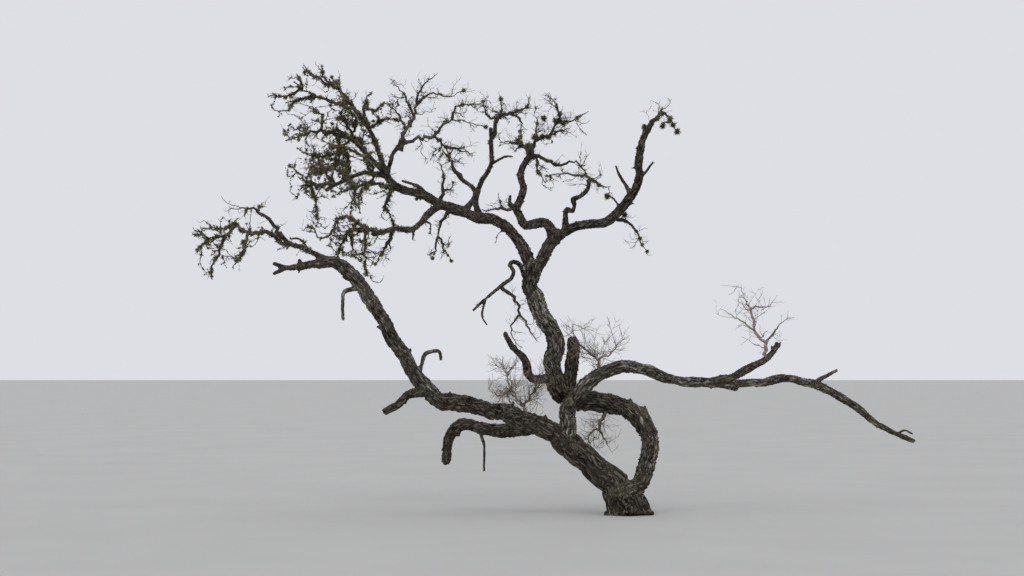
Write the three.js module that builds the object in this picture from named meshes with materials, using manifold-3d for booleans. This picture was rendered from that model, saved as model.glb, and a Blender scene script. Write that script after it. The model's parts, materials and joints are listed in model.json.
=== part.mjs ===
import * as THREE from "three";
import { mergeVertices } from "three/addons/utils/BufferGeometryUtils.js";
import Module from "manifold-3d";

// A dead tree, rooted in the ground. Two stems leave one root: the trunk leans to the left and
// forks low, and an arched stem turns over it and carries the upright one with the bare crown.
// Sizes are in millimetres, +X is to the right, +Y is away from the viewer and +Z is up.
// The origin is the middle of the flat cut at ground level.

const wasm = await Module();
wasm.setup();

// Waypoints are [across, up, depth] as seen from the front by an eye at this place: across and
// up are measured on the plane through the foot, and depth is positive away from the viewer.
const EYE_DISTANCE = 24000;
const EYE_ACROSS = -1450;
const EYE_UP = 1700;

// Clearances between neighbouring pieces
const JOINT_GAP = 0.35;
const TWIG_GAP = 6;

// The root flare and the flat cut
const FLARE_SPREAD = 150;
const FLARE_HEIGHT = 290;
const FLARE_LOBES = 5;
const FLARE_LOBE_DEPTH = 0.28;
const CUT_BLOCK = 3000;

// Rings along a limb, and how far the wood strays from its route
const LIMB_STEP = 195;
const STUB_STEP = 170;
const STUB_SIDES = 5;
const GNARL = 0.16;
const KNOB = 0.14;

// Twigs
const LEADER_STEP = 260;
const LEADER_GNARL = 0.5;
const STEM_SIDES = 4;
const TWIG_SIDES = 3;
const STEM_THICK = [54, 44, 34, 24];
const LEADER_THICK = [38, 30, 22];
const TWIG_SHARE = 0.52;
const SPUR_THICKNESS = 0.6;
const DENSE = 240;
const SPARSE = 320;
const TWIG_BEND = 0.55;
const SPUR_SHARE = 0.4;
const SPUR_LEAN = 0.9;
const SPACE_MARGIN = 210;
const LOWEST_TWIG = 120;

const BARK = { color: 0x4d4640, roughness: 0.95, metalness: 0 };
const DEAD_TWIG = { color: 0x5c5743, roughness: 0.97, metalness: 0 };

// The limbs, from the ground up. A limb starts inside the nearest part of the one it grows from,
// and thick is its diameter from foot to tip.
const LIMBS = [
  {
    name: "trunk",
    sides: 12,
    step: 110,
    thick: [300, 285, 290, 310, 325],
    route: [
      [0, -40, 0], [-40, 150, 5], [-200, 400, 20], [-475, 650, 60], [-700, 862, 110], [-830, 1010, 150],
    ],
  },
  {
    name: "low_limb",
    from: "trunk",
    sides: 9,
    thick: [270, 225, 205, 190],
    route: [
      [-812, 990, 150], [-1162, 1125, 40], [-1537, 1250, -150], [-2000, 1360, -400], [-2340, 1415, -585],
      [-2490, 1510, -650],
    ],
  },
  {
    name: "left_stem",
    from: "low_limb",
    sides: 8,
    thick: [165, 175, 185, 165, 150, 135],
    route: [
      [-2460, 1500, -640], [-2620, 1710, -715], [-2850, 2050, -840], [-3150, 2575, -1020],
      [-3325, 2825, -1120], [-3500, 3012, -1200], [-3700, 3150, -1290], [-3900, 3125, -1350],
    ],
    stubs: [
      {
        thick: [60, 40],
        route: [[-2640, 1800, -740], [-2525, 2000, -700], [-2362, 2037, -640], [-2337, 1925, -600]],
      },
      {
        thick: [65, 38],
        route: [[-3375, 2837, -1130], [-3537, 2787, -1200], [-3562, 2612, -1250], [-3562, 2425, -1280]],
      },
    ],
  },
  {
    name: "left_tip",
    from: "left_stem",
    sides: 7,
    thick: [112, 95, 70, 45],
    route: [[-3900, 3125, -1350], [-4100, 3100, -1410], [-4287, 3075, -1470], [-4437, 3137, -1500]],
    stubs: [
      { thick: [60, 40], route: [[-4270, 3080, -1465], [-4437, 3000, -1520]] },
      { thick: [50, 35], route: [[-4080, 3110, -1405], [-4112, 3187, -1440]] },
    ],
  },
  {
    name: "left_spur",
    from: "left_stem",
    sides: 7,
    thick: [115, 105, 90],
    route: [[-2530, 1580, -675], [-2725, 1487, -760], [-2900, 1362, -860], [-3037, 1275, -930]],
  },
  {
    name: "back_limb",
    from: "low_limb",
    sides: 8,
    thick: [180, 170, 150, 110],
    route: [
      [-1200, 1130, 20], [-1537, 1050, 260], [-1850, 1087, 420], [-2075, 1125, 520],
      [-2225, 975, 600], [-2275, 650, 680],
    ],
    stubs: [{ thick: [50, 30], route: [[-1790, 1080, 390], [-1800, 850, 330], [-1800, 540, 300]] }],
  },
  {
    name: "arch_leg",
    from: "trunk",
    sides: 10,
    thick: [215, 200, 220, 225, 235, 245],
    route: [
      [-70, 210, 30], [40, 310, 70], [140, 425, 110], [230, 575, 170], [280, 800, 240],
      [270, 960, 280], [216, 1130, 320], [110, 1290, 350],
    ],
  },
  {
    name: "arch_beam",
    from: "arch_leg",
    sides: 10,
    thick: [222, 235, 240, 250, 245],
    route: [
      [110, 1280, 350], [-69, 1354, 360], [-287, 1390, 375], [-537, 1420, 390], [-760, 1470, 400],
      [-880, 1570, 400], [-920, 1720, 400],
    ],
  },
  {
    name: "upright",
    from: "arch_beam",
    sides: 10,
    thick: [215, 225, 220, 215, 215],
    route: [
      [-910, 1680, 400], [-930, 1880, 400], [-930, 2212, 380], [-1075, 2525, 360],
      [-1212, 2837, 345], [-1200, 2987, 345], [-1170, 3125, 350],
    ],
  },
  {
    name: "upright_stub",
    from: "arch_beam",
    sides: 7,
    thick: [150, 155, 150],
    route: [[-720, 1460, 395], [-706, 1850, 470], [-690, 2175, 540]],
  },
  {
    name: "left_bough",
    from: "upright",
    sides: 8,
    thick: [148, 140, 135, 122, 112, 92],
    route: [
      [-1185, 3090, 350], [-1362, 3400, 430], [-1512, 3575, 520], [-1700, 3687, 600], [-1850, 3700, 660],
      [-2050, 3775, 740], [-2350, 3875, 850], [-2490, 3970, 900], [-2787, 4050, 1000], [-2925, 4112, 1030],
      [-3012, 4225, 1060], [-3050, 4337, 1080],
    ],
    stubs: [
      { thick: [56, 46, 34], route: [[-2450, 3950, 890], [-2600, 4090, 930], [-2830, 4170, 990]] },
      { thick: [28, 14], route: [[-1600, 3620, 560], [-1625, 3500, 540], [-1656, 3380, 530]] },
    ],
  },
  {
    name: "right_bough",
    from: "upright",
    sides: 8,
    thick: [155, 150, 182, 165],
    route: [[-1160, 3080, 350], [-1070, 3225, 310], [-970, 3362, 250], [-905, 3450, 200], [-870, 3545, 150]],
  },
  {
    name: "middle_bough",
    from: "right_bough",
    sides: 7,
    thick: [135, 125, 100, 95, 75],
    route: [
      [-890, 3500, 160], [-1025, 3635, 230], [-1137, 3631, 290], [-1230, 3600, 330], [-1305, 3630, 370],
      [-1365, 3731, 410], [-1400, 3819, 440], [-1337, 3950, 500], [-1312, 4075, 550], [-1337, 4225, 600],
      [-1312, 4350, 640], [-1225, 4512, 680], [-1225, 4625, 700],
    ],
    stubs: [{ thick: [62, 30], route: [[-1390, 3810, 440], [-1475, 3890, 410], [-1470, 3990, 390]] }],
  },
  {
    name: "right_crown_bough",
    from: "right_bough",
    sides: 7,
    thick: [132, 118, 115, 95, 62],
    route: [
      [-862, 3525, 150], [-650, 3600, 20], [-250, 3662, -230], [-87, 3812, -360], [62, 4000, -450],
      [137, 4187, -540], [137, 4412, -650], [187, 4650, -760], [325, 4937, -870],
    ],
    stubs: [
      { thick: [50, 26], route: [[137, 4200, -545], [212, 4262, -600], [325, 4412, -640]] },
      { thick: [55, 26], route: [[62, 4000, -450], [-100, 4237, -400], [-150, 4362, -380]] },
      { thick: [45, 22], route: [[180, 4700, -780], [212, 4887, -820]] },
      { thick: [34, 22], route: [[-95, 3810, -355], [-175, 3945, -330], [-290, 4005, -310]] },
    ],
  },
  {
    name: "small_mid_bough",
    from: "right_crown_bough",
    sides: 6,
    thick: [75, 65, 52],
    route: [
      [-780, 3590, 90], [-790, 3755, 70], [-762, 3812, 50], [-690, 3790, 0], [-665, 3870, -40],
      [-680, 3935, -60], [-575, 3987, -110], [-495, 4070, -160], [-487, 4155, -180],
    ],
  },
  {
    name: "inner_bough",
    from: "left_bough",
    sides: 6,
    thick: [85, 75, 62, 52],
    route: [
      [-1925, 3725, 690], [-1912, 3887, 640], [-1825, 4175, 560], [-1712, 4387, 480], [-1712, 4612, 400],
      [-1719, 4837, 320],
    ],
    stubs: [{ thick: [42, 20], route: [[-1712, 4387, 480], [-1537, 4475, 420], [-1437, 4475, 380]] }],
  },
  {
    name: "forked_bough",
    from: "left_bough",
    sides: 6,
    thick: [70, 58, 46],
    route: [
      [-1990, 3750, 720], [-1935, 3950, 790], [-1935, 4080, 840], [-2087, 4200, 930],
      [-2200, 4350, 1010],
    ],
  },
  {
    name: "low_bough",
    from: "left_bough",
    sides: 7,
    thick: [90, 80, 72, 66],
    route: [
      [-2400, 3875, 850], [-2487, 3775, 700], [-2675, 3562, 400], [-2925, 3562, 120], [-3187, 3500, -130],
    ],
    stubs: [
      { thick: [38, 20], route: [[-2550, 3700, 600], [-2475, 3637, 560], [-2475, 3500, 540]] },
      { thick: [36, 20], route: [[-2690, 3562, 380], [-2695, 3425, 360]] },
    ],
  },
  {
    name: "hook_bough",
    from: "upright",
    sides: 6,
    thick: [68, 60, 55, 48, 34],
    route: [
      [-1230, 2900, 345], [-1312, 3000, 220], [-1350, 3112, 160], [-1425, 3155, 110], [-1475, 3112, 70],
      [-1437, 3040, 30], [-1462, 2950, -10], [-1587, 2850, -80], [-1775, 2700, -190], [-1937, 2543, -290],
    ],
    stubs: [{ thick: [34, 22], route: [[-1862, 2610, -240], [-1825, 2487, -270], [-1762, 2362, -290]] }],
  },
  {
    name: "foot_bough",
    from: "upright",
    sides: 6,
    thick: [95, 105, 92, 80, 60],
    route: [
      [-925, 1700, 400], [-1110, 1680, 320], [-1237, 1730, 260], [-1290, 1925, 200], [-1375, 2020, 160],
      [-1462, 2110, 120], [-1540, 2260, 90],
    ],
  },
  {
    name: "right_limb",
    from: "trunk",
    sides: 8,
    thick: [200, 180, 150, 130, 120],
    route: [
      [-770, 960, 130], [-745, 1300, 80], [-600, 1550, 70], [-350, 1737, 110], [-37, 1837, 220],
      [275, 1787, 380], [650, 1662, 600], [1150, 1625, 850], [1362, 1587, 950],
    ],
  },
  {
    name: "right_limb_end",
    from: "right_limb",
    sides: 7,
    thick: [106, 98, 118, 105, 88, 60],
    route: [
      [1362, 1587, 950], [1700, 1650, 1060], [2025, 1687, 1150], [2525, 1537, 1300],
      [2900, 1287, 1390], [3162, 1087, 1450], [3562, 912, 1510],
    ],
    stubs: [
      { thick: [62, 40], route: [[2300, 1600, 1240], [2375, 1670, 1220], [2612, 1800, 1180]] },
      { thick: [40, 22], route: [[3330, 1030, 1470], [3440, 1050, 1440], [3550, 1000, 1420]] },
    ],
  },
  {
    name: "right_rise",
    from: "right_limb",
    sides: 7,
    thick: [112, 98, 85],
    route: [[980, 1630, 770], [1312, 1712, 760], [1525, 1825, 700], [1750, 1962, 620], [1875, 2125, 570]],
  },
  {
    name: "far_left_bough",
    from: "left_stem",
    sides: 6,
    step: 90,
    thick: [78, 62, 48],
    route: [
      [-3820, 3140, -1325], [-3980, 3287, -1400], [-4100, 3337, -1430], [-4262, 3400, -1470],
      [-4362, 3525, -1500],
    ],
    stubs: [{ thick: [36, 20], route: [[-4010, 3310, -1405], [-4110, 3437, -1370], [-4237, 3437, -1340]] }],
  },
  {
    name: "crown_bough_top",
    from: "left_bough",
    sides: 6,
    step: 120,
    thick: [78, 62, 52, 42],
    route: [
      [-3050, 4337, 1080], [-3125, 4512, 1050], [-3200, 4737, 1000], [-3375, 5012, 940],
      [-3537, 5225, 900],
    ],
  },
  {
    name: "crown_bough_left",
    from: "left_bough",
    sides: 6,
    thick: [70, 58, 46],
    route: [[-3020, 4240, 1062], [-3175, 4400, 900], [-3412, 4650, 650], [-3662, 4825, 450]],
  },
  {
    name: "crown_bough_low",
    from: "left_bough",
    sides: 6,
    thick: [70, 58, 46],
    route: [[-2990, 4190, 1050], [-3325, 4275, 1150], [-3537, 4187, 1250], [-3787, 4050, 1350]],
  },
  {
    name: "crown_bough_mid",
    from: "left_bough",
    sides: 6,
    step: 90,
    thick: [70, 60, 50],
    route: [[-3035, 4300, 1075], [-2940, 4520, 1210], [-2800, 4700, 1300]],
  },
];

// The masses of bare twigs. Each grows from its bough along hand-placed leaders, of which the
// first is its stem, and the rule below throws side twigs off them.
const MASSES = [
  {
    name: "twigs_crown_top",
    from: "crown_bough_top",
    reach: 160,
    leaders: [
      [[-3520, 5200, 905], [-3650, 5337, 880], [-3812, 5462, 850], [-3837, 5630, 830]],
      [[-3725, 5400, 870], [-3950, 5500, 960], [-4060, 5620, 1000]],
      [[-3600, 5300, 890], [-3640, 5400, 1150], [-3725, 5480, 1400]],
    ],
  },
  {
    name: "twigs_crown_side",
    from: "crown_bough_top",
    reach: 240,
    leaders: [
      [[-3280, 4860, 970], [-3312, 5075, 1150], [-3225, 5300, 1250]],
      [[-3300, 4960, 1060], [-3162, 5075, 1000], [-3062, 5162, 950]],
      [[-3285, 4900, 1000], [-3050, 4950, 880], [-2850, 4950, 780]],
    ],
  },
  {
    name: "twigs_crown_upper_left",
    from: "crown_bough_top",
    reach: 170,
    leaders: [
      [
        [-3420, 5060, 925], [-3560, 5120, 800], [-3700, 5162, 750], [-3900, 5237, 720],
        [-4087, 5325, 650], [-4200, 5425, 600],
      ],
      [[-4087, 5310, 650], [-4262, 5237, 560], [-4475, 5225, 480]],
      [[-3975, 5262, 690], [-4150, 5180, 780], [-4250, 5075, 820], [-4387, 5050, 860]],
      [[-4130, 5375, 630], [-4150, 5520, 540]],
    ],
  },
  {
    name: "twigs_crown_mid_left",
    from: "crown_bough_left",
    reach: 240,
    leaders: [
      [[-3650, 4815, 455], [-3850, 4800, 400], [-4025, 4762, 350], [-4300, 4675, 280]],
      [[-3725, 4820, 430], [-3850, 5000, 330], [-4000, 5090, 260]],
      [[-3950, 4790, 370], [-4090, 4870, 480]],
    ],
  },
  {
    name: "twigs_crown_low_left",
    from: "crown_bough_low",
    reach: 240,
    leaders: [
      [[-3770, 4060, 1345], [-3962, 4125, 1400], [-4137, 4275, 1450], [-4262, 4362, 1500]],
      [[-3900, 4100, 1390], [-4087, 4110, 1200]],
      [[-3850, 4070, 1370], [-3912, 3900, 1380], [-3887, 3612, 1400]],
      [[-3800, 4070, 1350], [-3860, 4400, 1440], [-3950, 4580, 1500]],
    ],
  },
  {
    name: "twigs_crown_core",
    from: "crown_bough_left",
    reach: 250,
    leaders: [
      [[-3300, 4530, 770], [-3450, 4780, 760], [-3600, 4990, 700]],
      [[-3400, 4700, 760], [-3580, 4560, 800], [-3825, 4470, 760], [-4037, 4500, 700]],
      [[-3560, 4570, 800], [-3680, 4380, 900], [-3830, 4290, 960]],
      [[-3450, 4780, 760], [-3400, 4930, 620], [-3480, 5060, 520], [-3620, 5150, 450]],
    ],
  },
  {
    name: "twigs_crown_front",
    from: "left_bough",
    reach: 230,
    leaders: [
      [[-2900, 4100, 1020], [-3037, 4110, 780], [-3225, 4150, 600], [-3450, 4080, 480], [-3650, 4000, 400]],
      [[-3300, 4140, 570], [-3370, 4000, 560], [-3350, 3760, 540]],
      [[-3400, 4110, 500], [-3600, 4300, 330], [-3850, 4330, 200], [-4050, 4250, 120]],
      [[-3150, 4130, 690], [-3200, 4350, 480], [-3330, 4480, 330]],
      [[-3200, 4350, 480], [-3420, 4540, 400], [-3650, 4600, 300], [-3850, 4680, 220]],
    ],
  },
  {
    name: "twigs_bough_end",
    from: "left_bough",
    spacing: SPARSE,
    reach: 170,
    leaders: [
      [[-2925, 4112, 1030], [-3000, 3980, 1100], [-3040, 3837, 1130], [-2925, 3625, 1150]],
    ],
  },
  {
    name: "twigs_crown_back",
    from: "crown_bough_low",
    reach: 240,
    leaders: [
      [[-3450, 4230, 1210], [-3500, 4420, 1420], [-3600, 4600, 1580], [-3680, 4790, 1680]],
      [[-3520, 4400, 1440], [-3725, 4330, 1620], [-3950, 4225, 1760]],
      [[-3470, 4300, 1290], [-3430, 4080, 1420], [-3450, 3820, 1480]],
    ],
  },
  {
    name: "twigs_low_bough",
    from: "low_bough",
    reach: 210,
    leaders: [
      [
        [-3170, 3500, -120], [-3275, 3550, -180], [-3425, 3700, -260], [-3625, 3687, -320],
        [-3725, 3512, -340], [-3850, 3437, -380], [-3900, 3525, -400], [-4000, 3625, -420],
      ],
      [[-3275, 3550, -180], [-3500, 3550, -60], [-3560, 3400, 0], [-3650, 3175, 40]],
      [[-3260, 3530, -170], [-3300, 3250, -240], [-3275, 3000, -260]],
      [[-3420, 3550, -100], [-3450, 3400, -150], [-3450, 3230, -170]],
    ],
  },
  {
    name: "twigs_low_hangers",
    from: "low_bough",
    spacing: SPARSE,
    reach: 170,
    leaders: [
      [[-2930, 3560, 110], [-2987, 3425, 80], [-3075, 3275, 60], [-3150, 3130, 40]],
      [[-2987, 3420, 80], [-2975, 3300, 160]],
    ],
  },
  {
    name: "twigs_bough_hangers",
    from: "left_bough",
    spacing: SPARSE,
    reach: 160,
    leaders: [
      [[-2260, 3840, 815], [-2337, 3650, 760], [-2375, 3462, 740], [-2362, 3362, 730]],
      [[-2370, 3400, 735], [-2437, 3200, 720]],
      [[-2370, 3430, 738], [-2287, 3275, 700], [-2212, 3165, 680]],
    ],
  },
  {
    name: "twigs_far_left_upper",
    from: "far_left_bough",
    spacing: SPARSE,
    reach: 130,
    leaders: [
      [
        [-4350, 3510, -1498], [-4462, 3650, -1530], [-4625, 3790, -1580], [-4750, 3825, -1610],
        [-4980, 3825, -1650],
      ],
      [[-4560, 3740, -1560], [-4587, 3880, -1500]],
      [[-4720, 3820, -1605], [-4810, 3710, -1640]],
    ],
  },
  {
    name: "twigs_far_left_lower",
    from: "far_left_bough",
    reach: 140,
    leaders: [
      [
        [-4200, 3370, -1455], [-4340, 3400, -1400], [-4500, 3525, -1380], [-4762, 3520, -1330],
        [-4912, 3625, -1280], [-5050, 3575, -1240], [-5337, 3575, -1180],
      ],
      [[-4860, 3590, -1300], [-5025, 3490, -1350], [-5200, 3450, -1400], [-5437, 3512, -1450]],
      [[-5200, 3450, -1400], [-5350, 3362, -1340], [-5400, 3280, -1320]],
      [[-5025, 3490, -1350], [-5112, 3312, -1320], [-5200, 3100, -1300], [-5212, 2950, -1290]],
      [[-4775, 3525, -1330], [-4812, 3275, -1400], [-4970, 3080, -1440]],
    ],
  },
  {
    name: "twigs_crown_mid",
    from: "crown_bough_mid",
    reach: 210,
    leaders: [
      [
        [-2810, 4690, 1295], [-2790, 4825, 1340], [-2675, 4950, 1380], [-2650, 5137, 1420],
        [-2450, 5275, 1450], [-2262, 5225, 1480], [-2062, 5312, 1500],
      ],
      [[-2660, 5125, 1420], [-2612, 5312, 1350], [-2400, 5525, 1280]],
      [[-2670, 5000, 1390], [-2800, 5250, 1500], [-2950, 5412, 1550]],
      [[-2770, 4870, 1350], [-2900, 5040, 1250], [-3010, 5112, 1200]],
    ],
  },
  {
    name: "twigs_crown_mid_right",
    from: "crown_bough_mid",
    reach: 200,
    leaders: [
      [
        [-2900, 4570, 1235], [-2800, 4640, 1180], [-2637, 4710, 1150], [-2425, 4737, 1120],
        [-2375, 4825, 1080], [-2200, 4937, 1050], [-1950, 4900, 1020], [-1775, 4850, 1000],
      ],
      [[-2200, 4930, 1050], [-2150, 5112, 1120], [-1912, 5150, 1180]],
      [[-2420, 4740, 1120], [-2300, 4600, 1180], [-2187, 4420, 1220]],
      [[-2280, 4590, 1185], [-2100, 4550, 1150], [-1950, 4512, 1120]],
    ],
  },
  {
    name: "twigs_inner_top",
    from: "inner_bough",
    reach: 190,
    leaders: [
      [[-1719, 4820, 325], [-1637, 4950, 280], [-1487, 5025, 240], [-1262, 5112, 200], [-1237, 5230, 180]],
      [[-1600, 4965, 270], [-1587, 5087, 330], [-1600, 5240, 360]],
      [[-1450, 5037, 235], [-1337, 4925, 180], [-1350, 4750, 150]],
      [[-1700, 4860, 310], [-1762, 4987, 400], [-1812, 5187, 450]],
    ],
  },
  {
    name: "twigs_middle_top",
    from: "middle_bough",
    reach: 180,
    leaders: [
      [
        [-1225, 4610, 698], [-1130, 4700, 720], [-975, 4737, 760], [-900, 4887, 780], [-650, 4950, 820],
        [-475, 5062, 850],
      ],
      [[-925, 4850, 775], [-850, 5012, 700], [-937, 5187, 650]],
      [[-975, 4740, 760], [-850, 4800, 680], [-725, 4825, 640]],
      [[-1190, 4640, 705], [-1150, 4800, 640], [-1137, 4975, 620]],
    ],
  },
  {
    name: "twigs_elbow",
    from: "middle_bough",
    spacing: SPARSE,
    reach: 160,
    leaders: [
      [[-1400, 3819, 440], [-1540, 3812, 410], [-1700, 3795, 420], [-1830, 3806, 430]],
    ],
  },
  {
    name: "twigs_middle_left",
    from: "middle_bough",
    spacing: SPARSE,
    reach: 160,
    leaders: [
      [[-1240, 4480, 675], [-1390, 4640, 760], [-1587, 4650, 800]],
    ],
  },
  {
    name: "twigs_middle_side",
    from: "middle_bough",
    spacing: SPARSE,
    reach: 170,
    leaders: [
      [
        [-1300, 4370, 645], [-1162, 4490, 580], [-1000, 4425, 540], [-837, 4375, 500],
        [-687, 4412, 460], [-562, 4325, 420], [-475, 4150, 380],
      ],
      [[-1140, 4480, 575], [-1115, 4312, 560], [-1037, 4125, 540]],
    ],
  },
  {
    name: "twigs_small_mid",
    from: "small_mid_bough",
    reach: 150,
    leaders: [
      [[-490, 4120, -172], [-478, 4215, -190], [-360, 4120, -215], [-212, 4095, -210]],
      [[-478, 4215, -190], [-620, 4250, -130], [-787, 4262, -80], [-1050, 4237, -40]],
    ],
  },
  {
    name: "twigs_right_tip",
    from: "right_crown_bough",
    reach: 120,
    leaders: [
      [[318, 4925, -866], [425, 5012, -900], [525, 4962, -930], [612, 4787, -960]],
      [[400, 4995, -893], [455, 5105, -880]],
      [[500, 4970, -922], [440, 4860, -960]],
    ],
  },
  {
    name: "twigs_right_hanging",
    from: "right_crown_bough",
    spacing: SPARSE,
    reach: 110,
    leaders: [
      [[-180, 3720, -290], [-75, 3700, -190], [25, 3637, -170], [112, 3525, -160], [237, 3287, -150]],
    ],
  },
  {
    name: "twigs_hook",
    from: "hook_bough",
    spacing: SPARSE,
    reach: 140,
    leaders: [
      [
        [-1612, 2835, -92], [-1500, 2780, -150], [-1420, 2700, -180], [-1350, 2500, -200],
        [-1462, 2350, -220], [-1387, 2062, -240],
      ],
      [[-1350, 2480, -200], [-1250, 2362, -150], [-1125, 2162, -120]],
    ],
  },
  {
    name: "twigs_thin_riser",
    from: "left_bough",
    spacing: SPARSE,
    reach: 150,
    leaders: [
      [[-2312, 3862, 830], [-2312, 4050, 880], [-2325, 4237, 920], [-2337, 4400, 950]],
      [[-2312, 3990, 865], [-2225, 4070, 790], [-2160, 4150, 750]],
    ],
  },
  {
    name: "twigs_forked",
    from: "forked_bough",
    reach: 140,
    leaders: [
      [[-2190, 4335, 1002], [-2240, 4450, 960], [-2170, 4590, 900]],
      [[-2230, 4430, 970], [-2330, 4560, 900]],
    ],
  },
  {
    name: "twigs_right_rise",
    from: "right_rise",
    reach: 190,
    leaders: [
      [
        [1790, 2000, 600], [1712, 2150, 560], [1625, 2240, 540], [1530, 2560, 500], [1450, 2700, 480],
        [1412, 2870, 460],
      ],
      [[1612, 2270, 535], [1440, 2387, 600], [1175, 2560, 650]],
      [[1560, 2470, 510], [1640, 2587, 520], [1790, 2600, 530]],
      [[1730, 2120, 570], [1860, 2330, 680], [1990, 2450, 740]],
    ],
  },
  {
    name: "twigs_arch_top",
    from: "right_limb",
    spacing: SPARSE,
    reach: 200,
    leaders: [
      [[-350, 1737, 110], [-375, 1925, 30], [-475, 2112, -20]],
      [[-370, 1900, 40], [-200, 2040, 60], [-75, 2190, 90]],
      [[-420, 2020, 0], [-600, 2120, -70], [-750, 2330, -120]],
    ],
  },
  {
    name: "twigs_low_fork",
    from: "low_limb",
    spacing: SPARSE,
    reach: 210,
    leaders: [
      [[-1200, 1130, 20], [-1325, 1362, -80], [-1450, 1575, -140], [-1537, 1820, -180]],
      [[-1340, 1400, -90], [-1150, 1560, -60], [-1030, 1740, -90]],
      [[-1420, 1530, -130], [-1600, 1480, -320], [-1750, 1580, -480]],
    ],
  },
  {
    name: "twigs_arch_inner",
    from: "arch_beam",
    spacing: SPARSE,
    reach: 170,
    leaders: [
      [[-287, 1387, 380], [-350, 1080, 330], [-240, 830, 330]],
      [[-345, 1120, 335], [-480, 980, 400], [-520, 800, 470]],
    ],
  },
];

// Seeded dice, the same on every run
function dice(seed) {
  let state = seed;
  return () => {
    state = (state * 1664525 + 1013904223) % 4294967296;
    return state / 4294967296;
  };
}

// A waypoint as seen from the front, put in its real place
function place([across, up, depth]) {
  const spread = 1 + depth / EYE_DISTANCE;
  const x = EYE_ACROSS + (across - EYE_ACROSS) * spread;
  const z = EYE_UP + (up - EYE_UP) * spread;
  return new THREE.Vector3(x, depth, z);
}

// The points of a smooth line through the waypoints, about one step apart
function smoothLine(waypoints, step) {
  const curve = new THREE.CatmullRomCurve3(waypoints, false, "catmullrom", 0.5);
  const spans = waypoints.length - 1;
  const points = [];
  for (let span = 0; span < spans; span += 1) {
    const length = waypoints[span].distanceTo(waypoints[span + 1]);
    const steps = Math.max(1, Math.round(length / step));
    for (let k = 0; k < steps; k += 1) {
      points.push(curve.getPoint((span + k / steps) / spans));
    }
  }
  points.push(waypoints[spans].clone());
  return points;
}

// The radius at each point, from diameters that are spread evenly over the line
function taper(count, thick) {
  const radii = [];
  for (let k = 0; k < count; k += 1) {
    const at = (k / (count - 1)) * (thick.length - 1);
    const low = Math.min(Math.floor(at), thick.length - 2);
    radii.push((thick[low] + (thick[low + 1] - thick[low]) * (at - low)) / 2);
  }
  return radii;
}

// Dead wood strays from its line and swells and shrinks, but its two ends stay
function gnarl(line, stray, swell, roll) {
  for (let k = 1; k < line.points.length - 1; k += 1) {
    const shift = new THREE.Vector3(roll() - 0.5, roll() - 0.5, roll() - 0.5);
    line.points[k].addScaledVector(shift, 2 * stray * line.radii[k]);
    line.radii[k] *= 1 + swell * (roll() - 0.5);
  }
}

function makeLine(waypoints, thick, step, stray, swell, roll) {
  const points = smoothLine(waypoints, step);
  const line = { points, radii: taper(points.length, thick) };
  gnarl(line, stray, swell, roll);
  return line;
}

// The direction of the line at each of its points
function tangents(points) {
  const last = points.length - 1;
  return points.map((_, k) => {
    const ahead = points[Math.min(k + 1, last)];
    const behind = points[Math.max(k - 1, 0)];
    return ahead.clone().sub(behind).normalize();
  });
}

// A direction square to the given one
function square(direction) {
  const helper = Math.abs(direction.z) > 0.9 ? new THREE.Vector3(1, 0, 0) : new THREE.Vector3(0, 0, 1);
  return helper.cross(direction).normalize();
}

// The root spreads in lobes close to the ground
function flare(height, angle) {
  const fade = Math.exp(-Math.max(height, 0) / FLARE_HEIGHT);
  return FLARE_SPREAD * fade * (1 + FLARE_LOBE_DEPTH * Math.cos(FLARE_LOBES * angle));
}

// A closed body round a line: a cylinder, or a cone where it is pointed, bent along it
function bentRod(line, { sides, pointed = false, grow = 0, flared = false }) {
  const last = line.points.length - 1;
  const shape = new THREE.CylinderGeometry(pointed ? 0 : 1, 1, 1, sides, last);
  const along = tangents(line.points);
  const side = [square(along[0])];
  for (let k = 1; k <= last; k += 1) {
    const turned = side[k - 1].clone().addScaledVector(along[k], -side[k - 1].dot(along[k]));
    side.push(turned.normalize());
  }
  const position = shape.getAttribute("position");
  const spot = new THREE.Vector3();
  for (let v = 0; v < position.count; v += 1) {
    spot.fromBufferAttribute(position, v);
    const ring = Math.round((spot.y + 0.5) * last);
    const angle = Math.atan2(spot.z, spot.x);
    const centre = line.points[ring].clone();
    if (ring === 0) centre.addScaledVector(along[0], -grow);
    if (ring === last) centre.addScaledVector(along[last], grow);
    if (Math.hypot(spot.x, spot.z) > 1e-6) {
      const binormal = side[ring].clone().cross(along[ring]);
      const radius = line.radii[ring] + grow + (flared ? flare(centre.z, angle) : 0);
      centre.addScaledVector(side[ring], radius * Math.cos(angle));
      centre.addScaledVector(binormal, radius * Math.sin(angle));
    }
    position.setXYZ(v, centre.x, centre.y, centre.z);
  }
  return toSolid(shape);
}

// three.js geometry to a closed solid, and back
function toSolid(geometry) {
  geometry.deleteAttribute("normal");
  geometry.deleteAttribute("uv");
  const merged = mergeVertices(geometry);
  const vertProperties = new Float32Array(merged.getAttribute("position").array);
  const triVerts = new Uint32Array(merged.index.array);
  return new wasm.Manifold(new wasm.Mesh({ numProp: 3, vertProperties, triVerts }));
}

function toGeometry(solid) {
  const mesh = solid.getMesh();
  const geometry = new THREE.BufferGeometry();
  geometry.setAttribute("position", new THREE.BufferAttribute(new Float32Array(mesh.vertProperties), 3));
  geometry.setIndex(new THREE.BufferAttribute(new Uint32Array(mesh.triVerts), 1));
  geometry.computeVertexNormals();
  return geometry;
}

// The largest body of a solid, with the scraps that a cut leaves dropped
function largest(solid) {
  return solid.decompose().reduce((best, next) => (next.volume() > best.volume() ? next : best));
}

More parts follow.
